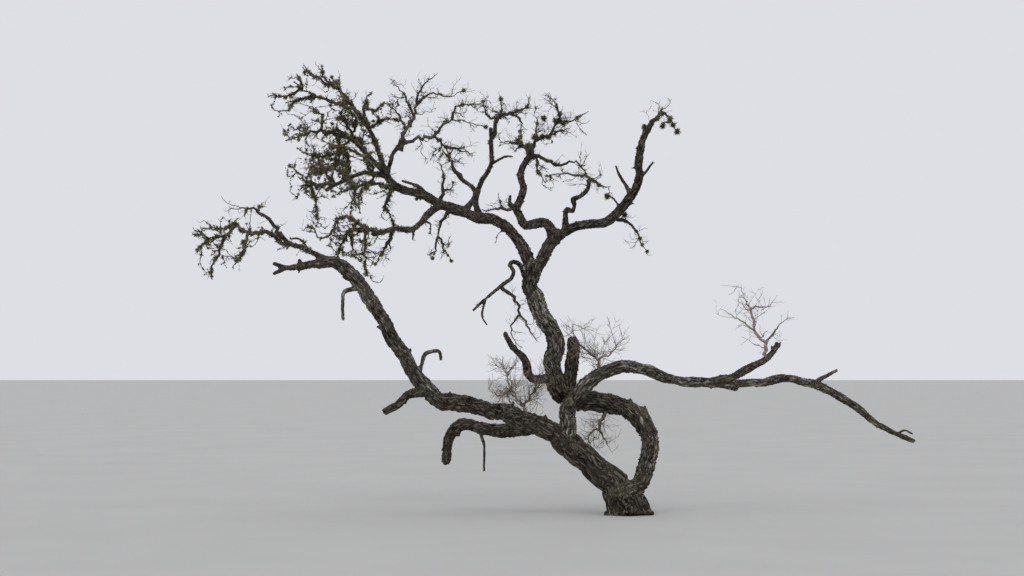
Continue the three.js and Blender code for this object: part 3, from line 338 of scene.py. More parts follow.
# The masses of twigs. Each grows from its bough along its leaders, the first its stem.
MASSES = (
    MassPlan("crown_top", "crown_bough_top", 160, CROWN_LEFT, THICK, DENSE, (
        ((-3520, 5200, 905), (-3650, 5337, 880), (-3812, 5462, 850), (-3837, 5630, 830)),
        ((-3725, 5400, 870), (-3950, 5500, 960), (-4060, 5620, 1000)),
        ((-3600, 5300, 890), (-3640, 5400, 1150), (-3725, 5480, 1400)),
    )),
    MassPlan("crown_side", "crown_bough_top", 240, CROWN_LEFT, THICK, DENSE, (
        ((-3280, 4860, 970), (-3312, 5075, 1150), (-3225, 5300, 1250)),
        ((-3300, 4960, 1060), (-3162, 5075, 1000), (-3062, 5162, 950)),
        ((-3285, 4900, 1000), (-3050, 4950, 880), (-2850, 4950, 780)),
    )),
    MassPlan("crown_upper_left", "crown_bough_top", 170, CROWN_LEFT, THICK, DENSE, (
        ((-3420, 5060, 925), (-3560, 5120, 800), (-3700, 5162, 750), (-3900, 5237, 720), (-4087, 5325, 650),
         (-4200, 5425, 600)),
        ((-4087, 5310, 650), (-4262, 5237, 560), (-4475, 5225, 480)),
        ((-3975, 5262, 690), (-4150, 5180, 780), (-4250, 5075, 820), (-4387, 5050, 860)),
        ((-4130, 5375, 630), (-4150, 5520, 540)),
    )),
    MassPlan("crown_mid_left", "crown_bough_left", 240, CROWN_LEFT, THICK, DENSE, (
        ((-3650, 4815, 455), (-3850, 4800, 400), (-4025, 4762, 350), (-4300, 4675, 280)),
        ((-3725, 4820, 430), (-3850, 5000, 330), (-4000, 5090, 260)),
        ((-3950, 4790, 370), (-4090, 4870, 480)),
    )),
    MassPlan("crown_low_left", "crown_bough_low", 240, CROWN_LEFT, THICK, DENSE, (
        ((-3770, 4060, 1345), (-3962, 4125, 1400), (-4137, 4275, 1450), (-4262, 4362, 1500)),
        ((-3900, 4100, 1390), (-4087, 4110, 1200)),
        ((-3850, 4070, 1370), (-3912, 3900, 1380), (-3887, 3612, 1400)),
        ((-3800, 4070, 1350), (-3860, 4400, 1440), (-3950, 4580, 1500)),
    )),
    MassPlan("crown_core", "crown_bough_left", 250, CROWN_LEFT, THICK, DENSE, (
        ((-3300, 4530, 770), (-3450, 4780, 760), (-3600, 4990, 700)),
        ((-3400, 4700, 760), (-3580, 4560, 800), (-3825, 4470, 760), (-4037, 4500, 700)),
        ((-3560, 4570, 800), (-3680, 4380, 900), (-3830, 4290, 960)),
        ((-3450, 4780, 760), (-3400, 4930, 620), (-3480, 5060, 520), (-3620, 5150, 450)),
    )),
    MassPlan("crown_front", "left_bough", 230, CROWN_LEFT, THICK, DENSE, (
        ((-2900, 4100, 1020), (-3037, 4110, 780), (-3225, 4150, 600), (-3450, 4080, 480),
         (-3650, 4000, 400)),
        ((-3300, 4140, 570), (-3370, 4000, 560), (-3350, 3760, 540)),
        ((-3400, 4110, 500), (-3600, 4300, 330), (-3850, 4330, 200), (-4050, 4250, 120)),
        ((-3150, 4130, 690), (-3200, 4350, 480), (-3330, 4480, 330)),
        ((-3200, 4350, 480), (-3420, 4540, 400), (-3650, 4600, 300), (-3850, 4680, 220)),
    )),
    MassPlan("bough_end", "left_bough", 170, CROWN_LEFT, THICK, SPARSE, (
        ((-2925, 4112, 1030), (-3000, 3980, 1100), (-3040, 3837, 1130), (-2925, 3625, 1150)),
    )),
    MassPlan("crown_back", "crown_bough_low", 240, CROWN_LEFT, THICK, DENSE, (
        ((-3450, 4230, 1210), (-3500, 4420, 1420), (-3600, 4600, 1580), (-3680, 4790, 1680)),
        ((-3520, 4400, 1440), (-3725, 4330, 1620), (-3950, 4225, 1760)),
        ((-3470, 4300, 1290), (-3430, 4080, 1420), (-3450, 3820, 1480)),
    )),
    MassPlan("low_bough", "low_bough", 210, FAR_LEFT, THICK, DENSE, (
        ((-3170, 3500, -120), (-3275, 3550, -180), (-3425, 3700, -260), (-3625, 3687, -320),
         (-3725, 3512, -340), (-3850, 3437, -380), (-3900, 3525, -400), (-4000, 3625, -420)),
        ((-3275, 3550, -180), (-3500, 3550, -60), (-3560, 3400, 0), (-3650, 3175, 40)),
        ((-3260, 3530, -170), (-3300, 3250, -240), (-3275, 3000, -260)),
        ((-3420, 3550, -100), (-3450, 3400, -150), (-3450, 3230, -170)),
    )),
    MassPlan("low_hangers", "low_bough", 170, FAR_LEFT, PATCHY, SPARSE, (
        ((-2930, 3560, 110), (-2987, 3425, 80), (-3075, 3275, 60), (-3150, 3130, 40)),
        ((-2987, 3420, 80), (-2975, 3300, 160)),
    )),
    MassPlan("bough_hangers", "left_bough", 160, FAR_LEFT, PATCHY, SPARSE, (
        ((-2260, 3840, 815), (-2337, 3650, 760), (-2375, 3462, 740), (-2362, 3362, 730)),
        ((-2370, 3400, 735), (-2437, 3200, 720)),
        ((-2370, 3430, 738), (-2287, 3275, 700), (-2212, 3165, 680)),
    )),
    MassPlan("far_left_upper", "far_left_bough", 130, FAR_LEFT, PATCHY, SPARSE, (
        ((-4350, 3510, -1498), (-4462, 3650, -1530), (-4625, 3790, -1580), (-4750, 3825, -1610),
         (-4980, 3825, -1650)),
        ((-4560, 3740, -1560), (-4587, 3880, -1500)),
        ((-4720, 3820, -1605), (-4810, 3710, -1640)),
    )),
    MassPlan("far_left_lower", "far_left_bough", 140, FAR_LEFT, THICK, DENSE, (
        ((-4200, 3370, -1455), (-4340, 3400, -1400), (-4500, 3525, -1380), (-4762, 3520, -1330),
         (-4912, 3625, -1280), (-5050, 3575, -1240), (-5337, 3575, -1180)),
        ((-4860, 3590, -1300), (-5025, 3490, -1350), (-5200, 3450, -1400), (-5437, 3512, -1450)),
        ((-5200, 3450, -1400), (-5350, 3362, -1340), (-5400, 3280, -1320)),
        ((-5025, 3490, -1350), (-5112, 3312, -1320), (-5200, 3100, -1300), (-5212, 2950, -1290)),
        ((-4775, 3525, -1330), (-4812, 3275, -1400), (-4970, 3080, -1440)),
    )),
    MassPlan("crown_mid", "crown_bough_mid", 210, CROWN_MIDDLE, PATCHY, DENSE, (
        ((-2810, 4690, 1295), (-2790, 4825, 1340), (-2675, 4950, 1380), (-2650, 5137, 1420),
         (-2450, 5275, 1450), (-2262, 5225, 1480), (-2062, 5312, 1500)),
        ((-2660, 5125, 1420), (-2612, 5312, 1350), (-2400, 5525, 1280)),
        ((-2670, 5000, 1390), (-2800, 5250, 1500), (-2950, 5412, 1550)),
        ((-2770, 4870, 1350), (-2900, 5040, 1250), (-3010, 5112, 1200)),
    )),
    MassPlan("crown_mid_right", "crown_bough_mid", 200, CROWN_MIDDLE, PATCHY, DENSE, (
        ((-2900, 4570, 1235), (-2800, 4640, 1180), (-2637, 4710, 1150), (-2425, 4737, 1120),
         (-2375, 4825, 1080), (-2200, 4937, 1050), (-1950, 4900, 1020), (-1775, 4850, 1000)),
        ((-2200, 4930, 1050), (-2150, 5112, 1120), (-1912, 5150, 1180)),
        ((-2420, 4740, 1120), (-2300, 4600, 1180), (-2187, 4420, 1220)),
        ((-2280, 4590, 1185), (-2100, 4550, 1150), (-1950, 4512, 1120)),
    )),
    MassPlan("inner_top", "inner_bough", 190, CROWN_MIDDLE, PATCHY, DENSE, (
        ((-1719, 4820, 325), (-1637, 4950, 280), (-1487, 5025, 240), (-1262, 5112, 200),
         (-1237, 5230, 180)),
        ((-1600, 4965, 270), (-1587, 5087, 330), (-1600, 5240, 360)),
        ((-1450, 5037, 235), (-1337, 4925, 180), (-1350, 4750, 150)),
        ((-1700, 4860, 310), (-1762, 4987, 400), (-1812, 5187, 450)),
    )),
    MassPlan("middle_top", "middle_bough", 180, CROWN_RIGHT, PATCHY, DENSE, (
        ((-1225, 4610, 698), (-1130, 4700, 720), (-975, 4737, 760), (-900, 4887, 780), (-650, 4950, 820),
         (-475, 5062, 850)),
        ((-925, 4850, 775), (-850, 5012, 700), (-937, 5187, 650)),
        ((-975, 4740, 760), (-850, 4800, 680), (-725, 4825, 640)),
        ((-1190, 4640, 705), (-1150, 4800, 640), (-1137, 4975, 620)),
    )),
    MassPlan("elbow", "middle_bough", 160, CROWN_RIGHT, PATCHY, SPARSE, (
        ((-1400, 3819, 440), (-1540, 3812, 410), (-1700, 3795, 420), (-1830, 3806, 430)),
    )),
    MassPlan("middle_left", "middle_bough", 160, CROWN_RIGHT, PATCHY, SPARSE, (
        ((-1240, 4480, 675), (-1390, 4640, 760), (-1587, 4650, 800)),
    )),
    MassPlan("middle_side", "middle_bough", 170, CROWN_RIGHT, PATCHY, SPARSE, (
        ((-1300, 4370, 645), (-1162, 4490, 580), (-1000, 4425, 540), (-837, 4375, 500), (-687, 4412, 460),
         (-562, 4325, 420), (-475, 4150, 380)),
        ((-1140, 4480, 575), (-1115, 4312, 560), (-1037, 4125, 540)),
    )),
    MassPlan("small_mid", "small_mid_bough", 150, CROWN_RIGHT, PATCHY, DENSE, (
        ((-490, 4120, -172), (-478, 4215, -190), (-360, 4120, -215), (-212, 4095, -210)),
        ((-478, 4215, -190), (-620, 4250, -130), (-787, 4262, -80), (-1050, 4237, -40)),
    )),
    MassPlan("right_tip", "right_crown_bough", 120, CROWN_RIGHT, PATCHY, DENSE, (
        ((318, 4925, -866), (425, 5012, -900), (525, 4962, -930), (612, 4787, -960)),
        ((400, 4995, -893), (455, 5105, -880)),
        ((500, 4970, -922), (440, 4860, -960)),
    )),
    MassPlan("right_hanging", "right_crown_bough", 110, CROWN_RIGHT, PATCHY, SPARSE, (
        ((-180, 3720, -290), (-75, 3700, -190), (25, 3637, -170), (112, 3525, -160), (237, 3287, -150)),
    )),
    MassPlan("hook", "hook_bough", 140, CROWN_RIGHT, BARE, SPARSE, (
        ((-1612, 2835, -92), (-1500, 2780, -150), (-1420, 2700, -180), (-1350, 2500, -200),
         (-1462, 2350, -220), (-1387, 2062, -240)),
        ((-1350, 2480, -200), (-1250, 2362, -150), (-1125, 2162, -120)),
    )),
    MassPlan("thin_riser", "left_bough", 150, CROWN_MIDDLE, PATCHY, SPARSE, (
        ((-2312, 3862, 830), (-2312, 4050, 880), (-2325, 4237, 920), (-2337, 4400, 950)),
        ((-2312, 3990, 865), (-2225, 4070, 790), (-2160, 4150, 750)),
    )),
    MassPlan("forked", "forked_bough", 140, CROWN_MIDDLE, PATCHY, DENSE, (
        ((-2190, 4335, 1002), (-2240, 4450, 960), (-2170, 4590, 900)),
        ((-2230, 4430, 970), (-2330, 4560, 900)),
    )),
    MassPlan("right_rise", "right_rise", 190, LOWER, WEATHERED, DENSE, (
        ((1790, 2000, 600), (1712, 2150, 560), (1625, 2240, 540), (1530, 2560, 500), (1450, 2700, 480),
         (1412, 2870, 460)),
        ((1612, 2270, 535), (1440, 2387, 600), (1175, 2560, 650)),
        ((1560, 2470, 510), (1640, 2587, 520), (1790, 2600, 530)),
        ((1730, 2120, 570), (1860, 2330, 680), (1990, 2450, 740)),
    )),
    MassPlan("arch_top", "right_limb", 200, LOWER, WEATHERED, SPARSE, (
        ((-350, 1737, 110), (-375, 1925, 30), (-475, 2112, -20)),
        ((-370, 1900, 40), (-200, 2040, 60), (-75, 2190, 90)),
        ((-420, 2020, 0), (-600, 2120, -70), (-750, 2330, -120)),
    )),
    MassPlan("low_fork", "low_limb", 210, LOWER, WEATHERED, SPARSE, (
        ((-1200, 1130, 20), (-1325, 1362, -80), (-1450, 1575, -140), (-1537, 1820, -180)),
        ((-1340, 1400, -90), (-1150, 1560, -60), (-1030, 1740, -90)),
        ((-1420, 1530, -130), (-1600, 1480, -320), (-1750, 1580, -480)),
    )),
    MassPlan("arch_inner", "arch_beam", 170, LOWER, WEATHERED, SPARSE, (
        ((-287, 1387, 380), (-350, 1080, 330), (-240, 830, 330)),
        ((-345, 1120, 335), (-480, 980, 400), (-520, 800, 470)),
    )),
)


class Dice:
    """Seeded dice that fall as the source's do."""

    FACTOR, MORE, RANGE = 1664525, 1013904223, 4294967296

    def __init__(self, seeds: tuple[int, int], number: int) -> None:
        """Starts the dice at one of a row of seeds, given by its first and their distance."""
        self.state = seeds[0] + seeds[1] * number

    def __call__(self) -> float:
        """The next throw, from 0 to 1."""
        self.state = (self.state * self.FACTOR + self.MORE) % self.RANGE
        return self.state / self.RANGE

    def about(self, rule: tuple[float, float]) -> float:
        """A throw between a rule's first number and the sum of both."""
        return rule[0] + rule[1] * self()

    def phase(self) -> float:
        """A thrown angle."""
        return 2 * math.pi * self()


def place(waypoint: Waypoint) -> Array:
    """Puts a waypoint as seen from the front in its real place.

    Args:
        waypoint: Across, up and depth in millimetres.

    Returns:
        The point in metres.
    """
    across, up, depth = (MM * value for value in waypoint)
    spread = 1 + depth / EYE_DISTANCE
    return np.array([EYE_ACROSS + (across - EYE_ACROSS) * spread, depth, EYE_UP + (up - EYE_UP) * spread])


def unit(vectors: Array) -> Array:
    """Vectors, one or a row each, brought to length 1."""
    return vectors / np.maximum(np.linalg.norm(vectors, axis=-1, keepdims=True), NO_LENGTH)


def square(directions: Array) -> Array:
    """For each direction, one that is square to it."""
    steep = np.abs(directions[..., 2:3]) > 0.9
    return unit(np.cross(np.where(steep, np.eye(3)[0], np.eye(3)[2]), directions))


def turned_out(directions: Array, lean: Array, phase: Array) -> Array:
    """Directions that lean out from others.

    Args:
        directions: The others.
        lean: The angle that each leans by.
        phase: Where round the old direction each leans to.

    Returns:
        The new directions, of length 1.
    """
    lean, phase = np.asarray(lean)[..., None], np.asarray(phase)[..., None]
    side = square(directions)
    side = side * np.cos(phase) + np.cross(directions, side) * np.sin(phase)
    return directions * np.cos(lean) + side * np.sin(lean)


def crosswise(vectors: Array, along: Array) -> Array:
    """The part of each vector that is square to a direction."""
    return vectors - along * np.sum(vectors * along, axis=-1, keepdims=True)


def smoothstep(values: Array, low: float, high: float) -> Array:
    """0 below low, 1 above high, and a smooth rise between."""
    share = np.clip((values - low) / (high - low), 0, 1)
    return share * share * (3 - 2 * share)


def noise_of(spots: Array) -> Array:
    """Smooth noise, from about -1 to 1, at each of some places."""
    return np.array([noise.noise(Vector(spot)) for spot in spots])


def spline(rows: Array, steps: list[int]) -> Array:
    """A smooth line through rows of numbers.

    Args:
        rows: The rows.
        steps: How many steps lie between each two.

    Returns:
        The rows of the smooth line.
    """
    padded = np.vstack([2 * rows[0] - rows[1], rows, 2 * rows[-1] - rows[-2]])
    found = []
    for span, count in enumerate(steps):
        before, start, end, after = padded[span:span + 4]
        leave, arrive = 0.5 * (end - before), 0.5 * (after - start)
        for k in range(count):
            t = k / count
            bend = 3 * (end - start) - 2 * leave - arrive
            found.append(start + leave * t + bend * t**2 + (2 * (start - end) + leave + arrive) * t**3)
    found.append(rows[-1])
    return np.array(found)


@dataclass
class Line:
    """A line of wood: its points, and its radius at each."""

    points: Array
    radii: Array

    def tangents(self) -> Array:
        """The direction of the line at each of its points."""
        ends = np.vstack([self.points[:1], self.points, self.points[-1:]])
        return unit(ends[2:] - ends[:-2])

    def spans(self) -> Array:
        """The distance from each point to the next."""
        return np.linalg.norm(np.diff(self.points, axis=0), axis=1)

    def run(self) -> Array:
        """How far along the line each point lies."""
        return np.concatenate([[0.0], np.cumsum(self.spans())])

    def refined(self, step: float) -> "Line":
        """The same line with other points.

        Args:
            step: About how far apart the points are to lie.

        Returns:
            The line.
        """
        steps = [max(1, round(span / step)) for span in self.spans()]
        rows = spline(np.column_stack([self.points, self.radii]), steps)
        return Line(rows[:, :3], np.maximum(rows[:, 3], 0.0))


def box_of(lines: list[Line], margin: float) -> tuple[Array, Array]:
    """The lowest and the highest corner of the box round some lines, widened on all sides."""
    points = np.vstack([line.points for line in lines])
    return points.min(axis=0) - margin, points.max(axis=0) + margin


class Rods:
    """Everything grown so far, as segments with a radius and an owner."""

    ROOM = 12000

    def __init__(self) -> None:
        """Starts with no rods."""
        self.count = 0
        self.start, self.span = np.zeros((2, self.ROOM, 3))
        self.radius, self.owner = np.zeros((2, self.ROOM))

    def record(self, owner: int, line: Line) -> None:
        """Adds the segments of a line.

        Args:
            owner: The number of the limb or mass that the line is of.
            line: The line.
        """
        fresh = slice(self.count, self.count + len(line.points) - 1)
        self.start[fresh] = line.points[:-1]
        self.span[fresh] = np.diff(line.points, axis=0)
        self.radius[fresh] = np.maximum(line.radii[:-1], line.radii[1:])
        self.owner[fresh] = owner
        self.count = fresh.stop

    def clear(self, owner: int, line: Line) -> bool:
        """Looks whether a line keeps clear of the wood of others.

        Args:
            owner: The number of the limb or mass that the line is of.
            line: The line.

        Returns:
            Whether it does.
        """
        others = np.flatnonzero(self.owner[:self.count] != owner)
        for k, step in enumerate(np.diff(line.points, axis=0)):
            gap = segment_distance(line.points[k], step, self.start[others], self.span[others])
            if np.any(gap < self.radius[others] + line.radii[k] + TWIG_GAP):
                return False
        return True


def segment_distance(point: Array, step: Array, starts: Array, spans: Array) -> Array:
    """The least distance from one segment to each of many.

    Args:
        point: Where the segment starts.
        step: From its start to its end.
        starts: Where the others start.
        spans: From their starts to their ends.

    Returns:
        The distances.
    """
    apart = point - starts
    uu, uv, uw = step @ step, spans @ step, apart @ step
    vv, vw = np.sum(spans * spans, axis=1), np.sum(apart * spans, axis=1)
    spread = uu * vv - uv * uv
    s = np.where(spread > NO_SPREAD, np.clip((uv * vw - vv * uw) / np.maximum(spread, NO_SPREAD), 0, 1), 0)
    t = np.clip((uv * s + vw) / vv, 0, 1)
    s = np.clip((uv * t - uw) / uu, 0, 1)
    return np.linalg.norm(apart + s[:, None] * step - t[:, None] * spans, axis=1)


class Skeleton:
    """The limbs, leaders and main twigs, grown by the source's rule and with its dice."""

    def __init__(self) -> None:
        """Grows the limbs, then all leaders, then the twigs, in the source's order."""
        self.rods = Rods()
        self.limbs: dict[str, list[Line]] = {}
        self.leaders: dict[str, list[Line]] = {}
        self.twigs: dict[str, list[Line]] = {}
        for number, plan in enumerate(LIMBS):
            self.limbs[plan.name] = self.grow_limb(plan, number)
        for number, plan in enumerate(MASSES):
            self.leaders[plan.name] = self.grow_leaders(plan, number)
        for number, plan in enumerate(MASSES):
            self.twigs[plan.name] = self.grow_twigs(plan, number)

    @staticmethod
    def make_line(waypoints: list[Array], thick: tuple, step: float, gnarl: float, knob: float,
                  dice: Dice) -> Line:
        """A crooked, tapering line through waypoints.

        Args:
            waypoints: The points that it goes through.
            thick: Its diameters from foot to tip, in millimetres.
            step: About how far apart its points lie, in millimetres.
            gnarl: How far it strays from its way, as a share of its radius.
            knob: How much it swells and shrinks.
            dice: The dice that it strays by.

        Returns:
            The line.
        """
        spans = np.linalg.norm(np.diff(waypoints, axis=0), axis=1)
        steps = [max(1, math.floor(span / (step * MM) + 0.5)) for span in spans]
        points = spline(np.array(waypoints), steps)
        evenly = np.linspace(0, len(thick) - 1, len(points))
        radii = np.interp(evenly, range(len(thick)), thick) * MM / 2
        for k in range(1, len(points) - 1):
            shift = np.array([dice() - 0.5, dice() - 0.5, dice() - 0.5])
            points[k] += shift * 2 * gnarl * radii[k]
            radii[k] *= 1 + knob * (dice() - 0.5)
        return Line(points, radii)

    @staticmethod
    def rooted(route: tuple[Waypoint, ...], lines: list[Line]) -> list[Array]:
        """Waypoints in place, the first moved onto the wood that they grow from.

        Args:
            route: The waypoints.
            lines: The lines of that wood, whose very tips are never taken.

        Returns:
            The points.
        """
        points = [place(waypoint) for waypoint in route]
        if lines:
            inner = np.vstack([line.points[:-1] for line in lines])
            points[0] = inner[np.argmin(np.linalg.norm(inner - points[0], axis=1))].copy()
        return points

    def grow_limb(self, plan: LimbPlan, number: int) -> list[Line]:
        """Grows a limb and its stubs.

        Args:
            plan: The limb.
            number: Its place in the table.

        Returns:
            Its main line, then those of its stubs.
        """
        dice = Dice(LIMB_SEEDS, number)
        route = self.rooted(plan.route, self.limbs.get(plan.parent, []))
        lines = [self.make_line(route, plan.thick, plan.step, GNARL, KNOB, dice)]
        for stub in plan.stubs:
            route = self.rooted(stub.route, lines[:1])
            lines.append(self.make_line(route, stub.thick, STUB_STEP, GNARL, KNOB, dice))
        for line in lines:
            self.rods.record(number, line)
        return lines

    def grow_leaders(self, plan: MassPlan, number: int) -> list[Line]:
        """Grows the leaders of a mass, each branching off the ones before it.

        Args:
            plan: The mass.
            number: Its place in the table.

        Returns:
            The leaders.
        """
        dice = Dice(LEADER_SEEDS, number)
        leaders: list[Line] = []
        for waypoints in plan.leaders:
            route = self.rooted(waypoints, leaders or self.limbs[plan.parent])
            thick = LEADER_THICK if leaders else STEM_THICK
            leaders.append(self.make_line(route, thick, LEADER_STEP, LEADER_GNARL, 0, dice))
        for line in leaders:
            self.rods.record(len(LIMBS) + number, line)
        return leaders

    def grow_twigs(self, plan: MassPlan, number: int) -> list[Line]:
        """Throws the main twigs of a mass off its leaders, within the space round them.

        Args:
            plan: The mass.
            number: Its place in the table.

        Returns:
            The twigs and their spurs.
        """
        dice = Dice(TWIG_SEEDS, number)
        low, high = box_of(self.leaders[plan.name], SPACE_MARGIN)
        low[2] = max(low[2], LOWEST_TWIG)
        owner = len(LIMBS) + number
        spacing = plan.spacing * MM
        grown = []
        for line in self.leaders[plan.name]:
            along = line.tangents()
            wait = spacing * dice.about(FIRST_WAIT)
            for k, length in enumerate(line.spans()):
                at = wait
                while at < length:
                    share = at / length
                    origin = line.points[k] + share * (line.points[k + 1] - line.points[k])
                    radius = TWIG_SHARE * (line.radii[k] + share * (line.radii[k + 1] - line.radii[k]))
                    reach = plan.reach * MM * dice.about(TWIG_LENGTH)
                    twig = self.twig(origin, along[k], reach, radius, dice)
                    spur = self.spur(twig, dice)
                    for wood in (twig, spur) if dice() < SPUR_SHARE else (twig,):
                        inside = np.all(wood.points >= low) and np.all(wood.points <= high)
                        if not inside or not self.rods.clear(owner, wood):
                            break
                        grown.append(wood)
                        self.rods.record(owner, wood)
                    at += spacing * dice.about(NEXT_WAIT)
                wait = at - length
        return grown

    @staticmethod
    def twig(origin: Array, direction: Array, length: float, radius: float, dice: Dice) -> Line:
        """A crooked twig that turns out from a line.

        Args:
            origin: Where it starts.
            direction: The way of the line there.
            length: How long it is.
            radius: Its radius at the foot.
            dice: The dice that it turns by.

        Returns:
            The twig.
        """
        phase = dice.phase()
        first = turned_out(direction, dice.about(TWIG_LEAN), phase)
        bend = np.array([dice() - 0.5, dice() - 0.5, dice() - TWIG_RISE])
        second = unit(first + bend * 2 * TWIG_BEND)
        middle = origin + first * 0.5 * length
        points = np.array([origin, middle, middle + second * 0.5 * length])
        return Line(points, np.array([radius, TWIG_WAIST * radius, 0.0]))

    @staticmethod
    def spur(twig: Line, dice: Dice) -> Line:
        """A short straight spur that turns off at a twig's bend.

        Args:
            twig: The twig.
            dice: The dice that it turns by.

        Returns:
            The spur.
        """
        onward = twig.points[1] - twig.points[0]
        length = np.linalg.norm(onward) * dice.about(SPUR_LENGTH)
        direction = turned_out(unit(onward), SPUR_LEAN, dice.phase())
        points = np.array([twig.points[1], twig.points[1] + direction * length])
        return Line(points, np.array([SPUR_THICKNESS * twig.radii[1], 0.0]))


class NodeTree:
    """A material's nodes, added and joined in a few words."""

    def __init__(self, name: str) -> None:
        """Starts a material with one matt surface.

        Args:
            name: The material's name.
        """
        self.material = bpy.data.materials.new(name)
        self.material.use_nodes = True
        self.tree = self.material.node_tree
        self.surface = self.tree.nodes["Principled BSDF"]
        self.surface.inputs["Specular IOR Level"].default_value = 0.12

    def fill(self, node: bpy.types.Node, inputs: dict) -> None:
        """Sets constants on a node's inputs, or joins other nodes' sockets to them.

        Args:
            node: The node.
            inputs: Numbers, colours and sockets, by the name or number of the input.
        """
        for name, value in inputs.items():
            if isinstance(value, Socket):
                self.tree.links.new(value, node.inputs[name])
            else:
                node.inputs[name].default_value = value

    def add(self, kind: str, inputs: dict | None = None, **settings: object) -> bpy.types.Node:
        """Adds a node.

        Args:
            kind: The kind of node.
            inputs: Constant values and joined sockets.
            settings: The node's own settings.

        Returns:
            The node.
        """
        node = self.tree.nodes.new(kind)
        for name, value in settings.items():
            setattr(node, name, value)
        self.fill(node, inputs or {})
        return node

    def cover(self, inputs: dict) -> bpy.types.Material:
        """Sets the inputs of the surface and returns the material."""
        self.fill(self.surface, inputs)
        return self.material

    def attribute(self, name: str, output: str = "Fac") -> Socket:
        """One of the mesh's own attributes."""
        return self.add("ShaderNodeAttribute", attribute_name=name).outputs[output]

    def place_of(self) -> Socket:
        """The place on the object."""
        return self.add("ShaderNodeTexCoord").outputs["Object"]

    def noise_at(self, vector: Socket, scale: float, detail: float = 3.0,
                 roughness: float = 0.6) -> Socket:
        """A noise from 0 to 1."""
        inputs = {"Vector": vector, "Scale": scale, "Detail": detail, "Roughness": roughness}
        return self.add("ShaderNodeTexNoise", inputs).outputs["Fac"]

    def step(self, value: Socket, low: object, high: object) -> Socket:
        """0 below low, 1 above high and a smooth rise between."""
        inputs = {"Value": value, "From Min": low, "From Max": high}
        return self.add("ShaderNodeMapRange", inputs, interpolation_type="SMOOTHSTEP").outputs["Result"]

    def sum_of(self, first: object, second: object, operation: str = "ADD") -> Socket:
        """Two numbers added, or joined by another operation."""
        return self.add("ShaderNodeMath", {0: first, 1: second}, operation=operation).outputs[0]

    def times(self, first: object, second: object) -> Socket:
        """Two numbers multiplied."""
        return self.sum_of(first, second, "MULTIPLY")

    def blend(self, share: object, first: object, second: object) -> Socket:
        """A colour between two others.

        Args:
            share: How much of the second it has.
            first: The first, as numbers or a socket.
            second: The second.

        Returns:
            The colour's socket.
        """
        first, second = ((*end, 1.0) if isinstance(end, tuple) else end for end in (first, second))
        inputs = {"Factor": share, 6: first, 7: second}
        return self.add("ShaderNodeMix", inputs, data_type="RGBA", clamp_factor=True).outputs[2]


@dataclass(frozen=True)
class BarkFinish:
    """Dead furrowed bark with pale lichen flecks, bare wood, reddish rot and moss in places, and painted
    shade in its furrows and cracks.
    """

    name: str = "furrowed_bark"
    # The furrow colour is painted shade: the shade in the bark's furrows and in the cracks between fibres
    furrow: Colour = (0.0092, 0.0075, 0.0056)
    plate: Colour = (0.066, 0.057, 0.043)
    worn: Colour = (0.180, 0.166, 0.128)
    crust: Colour = (0.420, 0.418, 0.335)
    heart: Colour = (0.115, 0.088, 0.062)
    raw: Colour = (0.430, 0.350, 0.240)
    rust: Colour = (0.105, 0.055, 0.036)
    moss: Colour = (0.125, 0.120, 0.052)
    grain: float = 0.004
    roughness: float = 0.93

    def material(self) -> bpy.types.Material:
        """Sets up the finish.

        Returns:
            The material.
        """
        nodes = NodeTree(self.name)
        way, relief = nodes.attribute("bark_way", "Vector"), nodes.attribute("relief")
        spot = nodes.place_of()
        drawn = nodes.add("ShaderNodeMapping", {"Vector": way, "Scale": (1, 1, 0.22)}).outputs["Vector"]
        fibre = nodes.noise_at(drawn, 70.0, 5.0, 0.72)
        patch = nodes.noise_at(spot, 5.5, 4.0, 0.6)
        fleck = nodes.noise_at(drawn, 38.0, 5.0, 0.7)
        height = nodes.sum_of(relief, nodes.times(fibre, 0.9))
        # Painted shade: the low parts of the relief take the near-black furrow colour
        wood = nodes.blend(nodes.step(height, 0.5, 1.15), self.furrow, self.plate)
        wood = nodes.blend(nodes.step(height, 1.15, 1.6), wood, self.worn)
        crust = nodes.attribute("crust")
        worn = nodes.times(nodes.step(patch, 0.3, 0.75), nodes.times(crust, 0.5))
        wood = nodes.blend(worn, wood, self.worn)
        edge = nodes.sum_of(0.76, nodes.times(crust, 0.34), "SUBTRACT")
        flecks = nodes.step(fleck, edge, nodes.sum_of(edge, 0.08))
        wood = nodes.blend(nodes.times(flecks, 0.9), wood, self.crust)
        # Painted shade in the cracks between the fibres of broken ends, in the furrow colour
        splinter = nodes.blend(nodes.step(fibre, 0.35, 0.7), self.furrow, self.heart)
        wood = nodes.blend(nodes.attribute("broken"), wood, splinter)
        mottle = nodes.noise_at(spot, 34.0, 6.0, 0.8)
        places = (("raw", self.raw, 0.9), ("rust", self.rust, 0.6), ("moss", self.moss, 0.6))
        for name, colour, cover in places:
            ragged = nodes.times(nodes.sum_of(mottle, 0.68, "SUBTRACT"), 5.0)
            share = nodes.step(nodes.sum_of(nodes.attribute(name), ragged), 0.1, 0.7)
            wood = nodes.blend(nodes.times(share, cover), wood, colour)
        bump = nodes.add("ShaderNodeBump", {"Height": fibre, "Distance": self.grain, "Strength": 0.8})
        normal = bump.outputs["Normal"]
        return nodes.cover({"Base Color": wood, "Roughness": self.roughness, "Normal": normal})


@dataclass(frozen=True)
class PlainFinish:
    """A matt finish of one colour with a slight mottling: twigs, lichen and the floor."""

    name: str
    colour: Colour
    mottling: float = 0.45
    scale: float = 38.0
    roughness: float = 0.95

    def material(self) -> bpy.types.Material:
        """Sets up the finish.

        Returns:
            The material.
        """
        nodes = NodeTree(self.name)
        dark, pale = (tuple(value * (1 + sign * self.mottling) for value in self.colour) for sign in (-1, 1))
        share = nodes.step(nodes.noise_at(nodes.place_of(), self.scale), 0.3, 0.7)
        return nodes.cover({"Base Color": nodes.blend(share, dark, pale), "Roughness": self.roughness})


